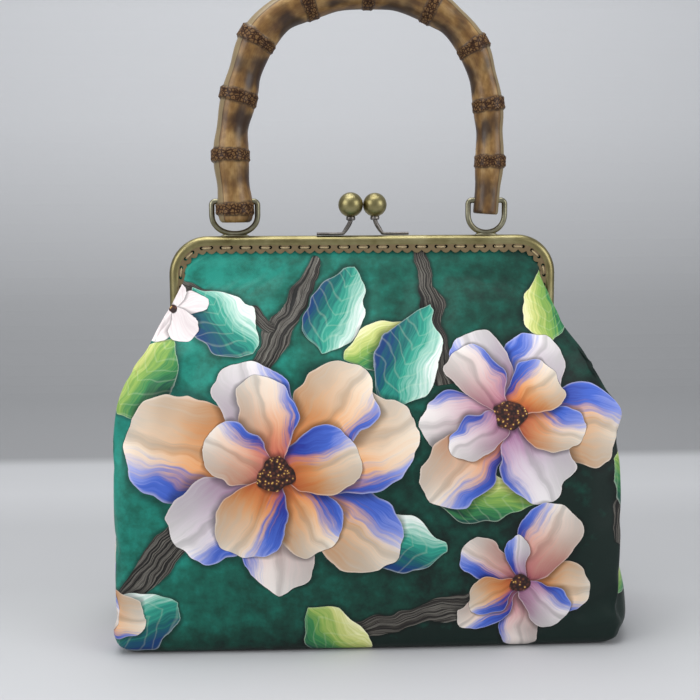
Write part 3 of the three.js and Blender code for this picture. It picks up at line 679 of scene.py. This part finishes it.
gloss = maths(tree, "MULTIPLY_ADD", band, 0.25, maths(tree, "MULTIPLY_ADD", stain, 0.3, 0.25))
tree.links.new(gloss, shader.inputs["Roughness"])
tree.links.new(maths(tree, "MULTIPLY_ADD", band, -0.22, 0.32), shader.inputs["Specular IOR Level"])
raised_flakes = maths(tree, "MULTIPLY", maths(tree, "MULTIPLY", flakes, band), 1.5)
relief = maths(tree, "ADD", maths(tree, "MULTIPLY", fibre, 0.08), raised_flakes)
bumped(tree, shader, relief, 0.0005, 0.6)

handle = made_piece(bm, "bamboo_handle_arch", bamboo, 70)
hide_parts("handle")
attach(handle, "bamboo_handle")

# Cloth bag
# Two panels of printed satin over padding, sewn together at the sides and under the base. The sides
# fold in towards the hinges, and the top edge is sewn into the frame's channels.
base_half_width = 127
base_half_depth = 42.5
cloth_wall = 2.0
lip_depth = 3.1
throat_x = half_width - 9.9
throat_top = frame_top - 9.5
channel_inside = half_width - 10.4
throat_depth = 5.05
near_hinge = hinge_height - 6
seam_half = 0.15
base_floor = 0.35
base_taper = 0.15
right_crease, left_crease = 3.2, 6
crown_power = 2.5
tuck_inset = 4
tuck_depth = 2.7
tuck_print = 0.06
# Level sections: the rise is 1 at the hinges and 2 at the frame's inner edge. The rest are shares of the
# way from the throat in the frame to the base's half width, or from the lip to its half depth.
section_names = ("rise", "edge_left", "edge_right", "side_left", "side_right", "edge_depth", "mid_depth")
sections = np.array([
    (0, 0.81, 0.84, 0.81, 0.97, 0.86, 0.885),
    (0.017, 0.92, 0.945, 0.92, 1.1, 0.924, 0.949),
    (0.054, 1, 1, 0.986, 1.24, 0.962, 0.987),
    (0.135, 1, 1, 0.986, 1.27, 0.975, 1),
    (0.27, 0.99, 0.98, 0.973, 1.16, 0.962, 1),
    (0.432, 0.973, 0.967, 0.973, 1.08, 0.936, 0.987),
    (0.608, 0.96, 0.973, 0.946, 1.027, 0.873, 0.949),
    (0.743, 0.951, 0.981, 0.865, 0.96, 0.783, 0.873),
    (0.797, 0.943, 1.033, 0.783, 0.87, 0.745, 0.834),
    (0.838, 0.919, 0.935, 0.7, 0.73, 0.707, 0.796),
    (0.892, 0.848, 0.791, 0.46, 0.47, 0.643, 0.745),
    (0.945, 0.737, 0.675, 0.1, 0.1, 0.58, 0.694),
    (0.96, 0.7, 0.64, 0, 0, 0.56, 0.676),
    (1, 0.566, 0.54, 0, 0, 0.516, 0.63),
    (1.25, 0.398, 0.317, 0, 0, 0.337, 0.49),
    (1.5, 0.236, 0.211, 0, 0, 0.185, 0.337),
    (1.74, 0.087, 0.079, 0, 0, 0.09, 0.172),
    (1.9, -0.01, -0.01, -0.03, -0.03, 0.05, 0.075),
    (2, -0.25, -0.25, -0.28, -0.28, 0, 0),
])
above_hinge = throat_top - hinge_height
section_z = [min(row[0], 1) * hinge_height + max(row[0] - 1, 0) * above_hinge for row in sections]
base_rows = [0.02, 0.25, 0.5, 0.75, 0.9]
wall_rows = [0, 0.7, 1.6, 2.8, 4.3, 6.2, 8.6, 11.5] + list(np.linspace(14.5, throat_top, 64))
seam_strip, flank, crease, front_face = 2, 8, 5, 66
columns = 2 * (seam_strip + flank + crease) + front_face


def bag_ring(z):
    """The bag's level section at a height, from the right side seam round the front to the left one."""
    share = dict(zip(section_names, (float(eased(section_z, column, z)) for column in sections.T)))
    wide = lambda s: throat_x + (base_half_width - throat_x) * s
    deep = lambda s: lip_depth + (base_half_depth - lip_depth) * s
    tip_y, mid_y = deep(share["edge_depth"]), deep(share["mid_depth"])
    throat = min(throat_depth, tip_y - 0.3) if z < near_hinge else min(lip_depth, tip_y - 0.05)
    points = []
    for name, sharpness in [("right", right_crease), ("left", left_crease)]:
        edge, fold = wide(share[f"edge_{name}"]), wide(share[f"side_{name}"])
        fold = min(fold, channel_inside) if z > near_hinge else fold
        fold = max(fold, edge) if z > corner_z else fold
        run = [(fold, throat)] * seam_strip
        if z < hinge_height - 2:
            run = [(fold, seam_half + (throat - seam_half) * step / seam_strip) for step in range(seam_strip)]
        swell = 0.2 * max(fold - edge, 0)
        length = math.hypot(edge - fold, tip_y - throat)
        bevel = min(sharpness * (1 - (edge - fold) / max(length, 1)), length / 3)
        flat = 1 - bevel / length
        for step in range(flank):
            t = step / flank * flat
            out = swell * math.sin(math.pi * t)
            run.append((fold + (edge - fold) * t + out, throat + (tip_y - throat) * t))
        start = Vector((fold + (edge - fold) * flat, throat + (tip_y - throat) * flat))
        corner = Vector((edge, tip_y))
        crown = 1 - (1 - bevel / edge) ** crown_power
        stop = Vector((edge - bevel, tip_y + (mid_y - tip_y) * crown))
        for step in range(crease):
            t = step / crease
            run.append(tuple(start * (1 - t) ** 2 + corner * 2 * t * (1 - t) + stop * t * t))
        points.append((run, edge - bevel))
    (right_run, right_x), (left_run, left_x) = points
    front = []
    for step in range(front_face + 1):
        x = right_x + (-left_x - right_x) * step / front_face
        edge = wide(share["edge_right"]) if x > 0 else wide(share["edge_left"])
        front.append((x, tip_y + (mid_y - tip_y) * (1 - abs(x / edge) ** crown_power)))
    ring = np.array(right_run + front + [(-x, y) for x, y in reversed(left_run)])
    length = np.concatenate([[0], np.cumsum(np.hypot(*np.diff(ring, axis=0).T))])
    even = min(max((z - hinge_height - 20) / (throat_top - hinge_height - 24), 0), 1)
    along = length * (1 - even) + np.linspace(0, length[-1], len(ring)) * even
    ring_x, ring_y = (np.interp(along, length, ring[:, column]) for column in (0, 1))
    return [(float(x), float(y)) for x, y in zip(ring_x, ring_y)]


# The print's height is the run of cloth up the middle of a panel, so that it lies flat on the slopes
bag_rings = [bag_ring(z) for z in wall_rows]
middle = columns // 2
middle_line = [(ring[middle][1], z) for ring, z in zip(bag_rings, wall_rows)]
climbs = [math.dist(lower, upper) for lower, upper in zip(middle_line, middle_line[1:])]
cloth_heights = np.concatenate([[0], np.cumsum(climbs)])
# Soft folds of the padded cloth: across, up, half width, half height, slant in degrees, depth
folds = [
    (-104, 118, 5, 30, -8, 1.6), (-84, 142, 6, 22, -24, -1.2), (98, 128, 6, 24, 20, 1.5),
    (70, 168, 7, 18, 30, -1.0), (-30, 176, 16, 7, 0, -0.8), (32, 180, 14, 6, 0, 0.8),
    (0, 20, 60, 6, 0, -0.8), (-112, 40, 5, 26, 2, -1.2), (108, 60, 7, 30, -3, 1.2),
    (20, 90, 50, 26, 10, 0.8),
]


def cloth_panel(side):
    """One panel as a grid that is wrapped round the bag's sections, with the print's own measures."""
    bm = bmesh.new()
    rows = len(base_rows) + len(wall_rows) - 1
    bmesh.ops.create_grid(bm, x_segments=columns, y_segments=rows, size=1)
    print_u, print_v = (bm.verts.layers.float.new(name) for name in ("print_u", "print_v"))
    for v in bm.verts:
        column = round((v.co.x + 1) / 2 * columns)
        row = round((v.co.y + 1) / 2 * rows)
        wall_row = max(row - len(base_rows), 0)
        ring = bag_rings[wall_row]
        x, y = ring[column]
        z = wall_rows[wall_row]
        steps = [math.dist(ring[i], ring[i + 1]) for i in range(min(column, middle), max(column, middle))]
        v[print_u] = sum(steps) * (1 if column < middle else -1) * -side / 100
        v[print_v] = cloth_heights[wall_row] / 100
        if row < len(base_rows):
            v[print_v] = (base_rows[row] - 1) * y / 100
            x *= 1 - base_taper * (1 - base_rows[row])
            y = seam_half + (y - seam_half) * base_rows[row]
        z = max(z, base_floor)
        for fold_x, fold_z, half_w, half_h, slant, fold_depth in folds:
            cosine, sine = math.cos(math.radians(slant)), math.sin(math.radians(slant))
            dx, dz = x * -side - fold_x, z - fold_z
            wide = (dx * cosine + dz * sine) / half_w
            high = (dz * cosine - dx * sine) / half_h
            if wide * wide + high * high < 6 and row >= len(base_rows) and y > 8:
                y += fold_depth * math.exp(-wide * wide - high * high) * min((y - 8) / 12, 1)
        v.co = (x, side * y, z)
    edges = [e for e in bm.edges if e.is_boundary and all(v.co.z > hinge_height - 1 for v in e.verts)]
    tucked, _ = grown_row(bm, edges, Matrix())
    for v in tucked:
        x, z = v.co.x, v.co.z
        if z < corner_z:
            x = math.copysign(half_width - tuck_inset, x)
        elif abs(x) < corner_x:
            z = frame_top - tuck_inset
        else:
            reach = Vector((abs(x) - corner_x, z - corner_z)).normalized() * (corner_radius - tuck_inset)
            x, z = math.copysign(corner_x + reach.x, x), corner_z + reach.y
        v.co = (x, side * tuck_depth, z)
        # The tucked row's print height runs on past the top, where the painted shade of the channels darkens
        # it
        v[print_v] += tuck_print
    bmesh.ops.remove_doubles(bm, verts=bm.verts, dist=0.01)
    bmesh.ops.recalc_face_normals(bm, faces=bm.faces)
    on_face = Vector((0, side * 42, 60))
    face = min(bm.faces, key=lambda f: (f.calc_center_median() - on_face).length)
    if face.normal.y * side < 0:
        bmesh.ops.reverse_faces(bm, faces=bm.faces)
    unwrapped = bm.loops.layers.uv.new("print")
    for face in bm.faces:
        for loop in face.loops:
            loop[unwrapped].uv = (loop.vert[print_u], loop.vert[print_v])
    return bm


# The print is a generic one: large garden flowers with rounded petals, leaves and twigs on mottled
# teal. Each motif is across, up, turn in degrees, length and half width in cm, its kind and its tint.
twigs = [
    (-14.5, 0.5, 48, 13, 0.85, 0.2), (-6.5, 11.5, 64, 10, 0.8, 0.5), (-4.5, 16.5, 152, 8, 0.45, 0.4),
    (-1.5, 1.0, 14, 12, 0.75, 0.7), (12.5, 5.5, 76, 12, 0.7, 0.1), (4.0, 13.5, 98, 8, 0.75, 0.9),
]
leaves = [
    (-13.5, 9.5, 118, 5.6, 1.5, 0.15), (-12.6, 12.0, 50, 5.2, 1.5, 0.75), (-2.2, 15.3, 70, 5.0, 1.5, 0.3),
    (-1.0, 14.8, 22, 4.6, 1.3, 0.85), (11.4, 15.2, 30, 4.6, 1.4, 0.2), (12.0, 9.6, -38, 5.4, 1.6, 0.65),
    (2.8, 8.4, -8, 5.2, 1.4, 0.9), (-9.4, 2.8, 205, 5.6, 1.6, 0.35), (-3.0, 2.4, 308, 4.8, 1.4, 0.95),
    (3.6, 5.2, 165, 4.8, 1.4, 0.1), (12.6, 3.0, 28, 5.2, 1.5, 0.55), (-16, 17, 300, 5, 1.4, 0.6),
    (-5.6, 15.0, 128, 4.8, 1.5, 0.42), (9.6, 15.4, 96, 4.2, 1.3, 0.72), (1.2, 12.4, 68, 5.6, 1.6, 0.22),
]
motifs = [(*place, sort, tint) for sort, rows in (("twig", twigs), ("leaf", leaves)) for *place, tint in rows]
chance = random.Random(11)
# Each flower is across, up, its reach in cm and its number of outer petals
flowers = [(-4.6, 9.2, 7.2, 7), (6.8, 12.0, 5.6, 6), (7.4, 3.6, 4.2, 5), (-14.8, 2.6, 3.6, 5)]
for across, above, reach, count in flowers:
    for ring, (share, number) in enumerate([(1, count), (0.66, count - 2)]):
        first = chance.uniform(0, 360)
        for petal in range(number):
            turn = first + (petal + chance.uniform(-0.24, 0.24)) * 360 / number
            length = reach * share * chance.uniform(0.78, 1.1)
            half = length * chance.uniform(0.27, 0.4)
            motifs.append((across, above, turn, length, half, "petal", chance.uniform(0.02, 0.98)))
    motifs.append((across - reach * 0.12, above, 0, reach * 0.24, reach * 0.12, "heart", 0.5))
for petal in range(5):
    motifs.append((-9.6, 17.4, 20 + 72 * petal, 1.7, 0.75, "pale", 0.15 + 0.15 * petal))
motifs.append((-9.85, 17.4, 0, 0.5, 0.25, "heart", 0.2))
# Half width along each kind of motif, from its foot to its tip
outlines = {
    "twig": [(0, 0.6), (0.1, 0.85), (0.32, 0.6), (0.5, 0.9), (0.72, 0.5), (0.94, 0.45), (1, 0)],
    "leaf": [(0, 0), (0.06, 0.3), (0.2, 0.72), (0.42, 1), (0.66, 0.82), (0.88, 0.34), (1, 0)],
    "petal": [(0, 0.2), (0.12, 0.42), (0.34, 0.78), (0.6, 1), (0.8, 0.92), (0.94, 0.52), (1, 0)],
    "pale": [(0, 0.2), (0.14, 0.5), (0.5, 0.95), (0.7, 1), (0.86, 0.8), (0.96, 0.45), (1, 0)],
    "heart": [(0, 0), (0.05, 0.42), (0.2, 0.8), (0.5, 1), (0.8, 0.8), (0.95, 0.42), (1, 0)],
}
kinds = {"twig": 1, "leaf": 2, "petal": 3, "pale": 4, "heart": 5}

# Noise sways the motifs' edges a little, so that they look painted
satin_finish = {"Roughness": 0.48, "Sheen Weight": 0.04, "Specular IOR Level": 0.22}
satin, tree, shader = finish("printed satin", satin_finish)
unwrapped = node(tree, "UVMap", uv_map="print").outputs[0]
plain = node(tree, "SeparateXYZ", {0: unwrapped}).outputs
sway_x = speckle(tree, unwrapped, 6, 1)
shifted = node(tree, "VectorMath", {0: unwrapped, 1: (5, 3, 1)}, operation="ADD").outputs[0]
sway_y = speckle(tree, shifted, 6, 1)
jag = speckle(tree, shifted, 30, 2)
print_x = maths(tree, "MULTIPLY_ADD", plain[0], 10.0, maths(tree, "MULTIPLY_ADD", sway_x, 1.1, -0.55))
print_x = maths(tree, "MULTIPLY_ADD", jag, 0.1, print_x)
print_y = maths(tree, "MULTIPLY_ADD", plain[1], 10.0, maths(tree, "MULTIPLY_ADD", sway_y, 1.1, -0.55))
# Each motif covers those before it. A point keeps how far along and beside the topmost motif it is, its
# kind, the room to its outline, and the nearness of a motif that lies over it, which shades it.
along = beside = kind = room = 0.0
shadow = -1.0
for across, above, turn, length, half, sort, tint in motifs:
    cosine, sine = math.cos(math.radians(turn)), math.sin(math.radians(turn))
    x = maths(tree, "MULTIPLY_ADD", print_x, cosine / length, -(across * cosine + above * sine) / length)
    x = maths(tree, "MULTIPLY_ADD", print_y, sine / length, x)
    y = maths(tree, "MULTIPLY_ADD", print_x, -sine / half, (across * sine - above * cosine) / half)
    y = maths(tree, "MULTIPLY_ADD", print_y, cosine / half, y)
    outline = node(tree, "FloatCurve", {1: x})
    curve = outline.mapping.curves[0]
    curve.points[0].location = outlines[sort][0]
    curve.points[-1].location = outlines[sort][-1]
    for point in outlines[sort][1:-1]:
        curve.points.new(*point)
    outline.mapping.update()
    space = maths(tree, "SUBTRACT", outline.outputs[0], maths(tree, "ABSOLUTE", y))
    inside = maths(tree, "GREATER_THAN", space, 0.0)
    along, beside, room, kind = (
        node(tree, "Mix", {0: inside, 2: old, 3: new}, data_type="FLOAT").outputs[0]
        for old, new in ((along, x), (beside, y), (room, space), (kind, kinds[sort] + tint))
    )
    under = maths(tree, "MAXIMUM", shadow, space)
    shadow = node(tree, "Mix", {0: inside, 2: under, 3: -1.0}, data_type="FLOAT").outputs[0]

tint = maths(tree, "FRACT", kind)
sort = maths(tree, "FLOOR", kind)
stretched = [maths(tree, "MULTIPLY", value, times) for value, times in ((along, 1.3), (beside, 7), (kind, 9))]
grain_at = node(tree, "CombineXYZ", dict(enumerate(stretched))).outputs[0]
grain = speckle(tree, grain_at, 1.6, 4, 0.6)
cloudy = speckle(tree, unwrapped, 9, 5, 0.65)
half_side = maths(tree, "SIGN", maths(tree, "SUBTRACT", tint, 0.5))
sided = maths(tree, "MULTIPLY", beside, half_side)

# Ground: teal clouds with painted light and shade, lighter at the upper left, nearly black to the right and
# below
# Darker along the base: partly the print's dark ground, partly painted shade where the cloth curves under
dark_base_at = maths(tree, "MULTIPLY_ADD", plain[1], 2.5, 0.1)
dark_base_print_and_shade = ramp(tree, dark_base_at, [(0.0, 0.3), (0.16, 0.26), (0.6, 0.0)], "EASE")
painted_light_slope = maths(tree, "MULTIPLY_ADD", plain[0], -0.28, maths(tree, "MULTIPLY_ADD", plain[1], 0.16, -0.05))
clouds_and_painted_light = maths(tree, "ADD", maths(tree, "MULTIPLY_ADD", cloudy, 0.9, -0.1), painted_light_slope)
ground = ramp(tree, maths(tree, "SUBTRACT", clouds_and_painted_light, dark_base_print_and_shade), [
    (0.15, (0.003, 0.013, 0.010)),
    (0.4, (0.004, 0.052, 0.036)),
    (0.62, (0.006, 0.115, 0.082)),
    (0.9, (0.014, 0.26, 0.20)),
])
bark = ramp(tree, grain, [
    (0.38, (0.006, 0.006, 0.006)),
    (0.5, (0.035, 0.03, 0.026)),
    (0.56, (0.16, 0.15, 0.13)),
    (0.64, (0.04, 0.034, 0.03)),
    (0.72, (0.38, 0.37, 0.33)),
])
# Leaves: one half deep, one half pale, with fine slanting veins
slant = maths(tree, "MULTIPLY", maths(tree, "ABSOLUTE", beside), -2.0)
vein = maths(tree, "FRACT", maths(tree, "MULTIPLY_ADD", along, 7.0, slant))
veined = maths(tree, "MULTIPLY", ramp(tree, vein, [(0.0, 1.0), (0.12, 0.0), (0.9, 0.0), (1.0, 1.0)]), 0.14)
leaf_at = maths(tree, "MULTIPLY_ADD", sided, 0.42, maths(tree, "MULTIPLY_ADD", grain, 0.5, 0.22))
cold = ramp(tree, leaf_at, [
    (0.1, (0.006, 0.04, 0.16)),
    (0.3, (0.008, 0.12, 0.12)),
    (0.5, (0.03, 0.33, 0.24)),
    (0.68, (0.35, 0.62, 0.52)),
    (0.85, (0.82, 0.88, 0.84)),
])
warm = ramp(tree, leaf_at, [
    (0.1, (0.01, 0.07, 0.05)),
    (0.3, (0.04, 0.22, 0.07)),
    (0.5, (0.24, 0.40, 0.08)),
    (0.7, (0.58, 0.62, 0.20)),
    (0.88, (0.86, 0.84, 0.48)),
])
leaf = mixed(tree, maths(tree, "GREATER_THAN", tint, 0.5), cold, warm)
leaf = mixed(tree, veined, leaf, (0.75, 0.82, 0.62))
# Petals: orange at the throat, peach and cream above, cobalt and violet along one side, a pale rim
petal_at = maths(tree, "MULTIPLY_ADD", grain, 0.34, maths(tree, "MULTIPLY_ADD", along, 0.95, -0.2))
petal = ramp(tree, petal_at, [
    (0.0, (0.20, 0.02, 0.02)),
    (0.15, (0.60, 0.12, 0.03)),
    (0.38, (0.80, 0.33, 0.10)),
    (0.6, (0.84, 0.55, 0.34)),
    (0.85, (0.88, 0.75, 0.60)),
    (1.0, (0.90, 0.84, 0.76)),
], "B_SPLINE")
one_side = maths(tree, "MULTIPLY_ADD", sided, 0.6, maths(tree, "MULTIPLY", grain, 0.55))
blue_at = maths(tree, "ADD", one_side, maths(tree, "MULTIPLY_ADD", tint, 0.3, -0.28))
blue = ramp(tree, blue_at, [(0.3, 0.0), (0.62, 1.0)], "EASE")
violet_at = maths(tree, "MULTIPLY_ADD", grain, 0.5, maths(tree, "MULTIPLY_ADD", along, 0.75, -0.2))
violet = ramp(tree, violet_at, [
    (0.1, (0.06, 0.02, 0.16)),
    (0.35, (0.02, 0.04, 0.30)),
    (0.6, (0.06, 0.13, 0.55)),
    (0.8, (0.28, 0.34, 0.74)),
    (1.0, (0.66, 0.70, 0.88)),
])
cool_at = maths(tree, "FRACT", maths(tree, "MULTIPLY", tint, 6.3))
cool = ramp(tree, petal_at, [
    (0.0, (0.16, 0.05, 0.16)),
    (0.2, (0.40, 0.22, 0.42)),
    (0.5, (0.66, 0.60, 0.76)),
    (0.9, (0.90, 0.88, 0.88)),
], "B_SPLINE")
petal = mixed(tree, ramp(tree, cool_at, [(0.45, 0.0), (0.8, 0.85)]), petal, cool)
petal = mixed(tree, blue, petal, violet)
from_fold = maths(tree, "ADD", beside, maths(tree, "MULTIPLY_ADD", grain, 0.3, -0.15))
fold_line = ramp(tree, maths(tree, "ABSOLUTE", from_fold), [(0.0, 0.72), (0.2, 1.0)], "EASE")
petal = mixed(tree, 1.0, petal, fold_line, "MULTIPLY")
away_at = maths(tree, "MULTIPLY_ADD", grain, 0.4, maths(tree, "MULTIPLY_ADD", sided, -0.5, 0.25))
turned_away = ramp(tree, away_at, [(0.25, 1.0), (0.85, 0.62)], "EASE")
petal = mixed(tree, 1.0, petal, turned_away, "MULTIPLY")
pale = mixed(tree, grain, (0.62, 0.50, 0.52), (0.93, 0.90, 0.88))
stamens = node(tree, "TexVoronoi", {"Vector": unwrapped, "Scale": 60.0}).outputs[0]
heart = ramp(tree, stamens, [(0.1, (0.78, 0.50, 0.12)), (0.3, (0.10, 0.03, 0.02)), (0.7, (0.02, 0.01, 0.01))])
rim = ramp(tree, room, [(0.0, 0.3), (0.06, 0.0)], "EASE")
leaf = mixed(tree, rim, leaf, (0.80, 0.86, 0.76))
petal = mixed(tree, rim, petal, (0.92, 0.86, 0.80))
colour = ground
for name, tone in {"twig": bark, "leaf": leaf, "petal": petal, "pale": pale, "heart": heart}.items():
    chosen = maths(tree, "COMPARE", sort, float(kinds[name]), 0.5)
    colour = mixed(tree, chosen, colour, tone)
dimmed = ramp(tree, maths(tree, "ADD", shadow, 1.0), [(0.72, 1.0), (1.0, 0.42)], "EASE")
colour = mixed(tree, 1.0, colour, dimmed, "MULTIPLY")
# Painted shade: the cloth is drawn darker where it runs up inside the frame's channels, so the holes show
# dark
tucked_at = cloth_heights[-1] / 100 + 0.012
channel_shade_at = maths(tree, "MULTIPLY_ADD", plain[1], 20.0, -tucked_at * 20)
channel_shade = ramp(tree, channel_shade_at, [(0.0, 1.0), (0.3, 0.06)])
colour = mixed(tree, 1.0, colour, channel_shade, "MULTIPLY")
tree.links.new(colour, shader.inputs["Base Color"])
weave_feeds = {"Vector": unwrapped, "Scale": 260.0, "Distortion": 1.5, "Detail": 1.0}
weave = node(tree, "TexWave", weave_feeds, bands_direction="DIAGONAL").outputs[1]
bumped(tree, shader, weave, 0.00004, 0.25)

slack = 4 * mm
last_moment = 16
for name, side in [("front", -1), ("back", 1)]:
    panel = made_piece(cloth_panel(side), f"cloth_panel_{name}", satin, 180)
    # The padding pushes the slack cloth out between its seams, which stay where they are sewn. The
    # hold fades out over 16 mm below the frame, 6 mm from the side seams and 9 mm above the base.
    points = panel.data.vertices
    sewn = panel.vertex_groups.new(name="sewn")
    for point in points:
        x, y, z = (point.co - Vector((middle_x, 0, 0))) / mm
        near_frame = 1 - (frame_top - 9 - z) / 16
        near_seam = 1 - (abs(y) - 5) / 6
        near_base = 1 - (z - 2) / 9
        hold = min(max(near_frame, near_seam, near_base, 0), 1)
        sewn.add([point.index], hold, "REPLACE")
    cloth = panel.modifiers.new("cloth", "CLOTH")
    cloth.settings.quality = 5
    cloth.settings.mass = 0.2
    cloth.settings.tension_stiffness = cloth.settings.compression_stiffness = 20
    cloth.settings.shear_stiffness = 8
    cloth.settings.bending_stiffness = 0.8
    cloth.settings.shrink_min = cloth.settings.shrink_max = -0.015
    cloth.settings.use_pressure = True
    cloth.settings.uniform_pressure_force = 2.5
    cloth.settings.effector_weights.gravity = 0
    cloth.settings.vertex_group_mass = "sewn"
    for moment in range(1, last_moment + 1):
        scene.frame_set(moment)
    soft = panel.evaluated_get(bpy.context.evaluated_depsgraph_get()).data.vertices
    moves = [after.co - before.co for after, before in zip(soft, points)]
    panel.modifiers.remove(cloth)
    for point, move in zip(points, moves):
        if move.length > 1e-7:
            point.co += move.normalized() * slack * math.tanh(move.length / slack)
    panel.vertex_groups.clear()
    scene.frame_set(1)
    wall = panel.modifiers.new("satin, padding and backing", "SOLIDIFY")
    wall.thickness = cloth_wall * mm
    wall.offset = -1
    smooth = panel.modifiers.new("soft surface", "SUBSURF")
    smooth.levels = smooth.render_levels = 1
    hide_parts(f"body_{name}")
    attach(panel, "bag")
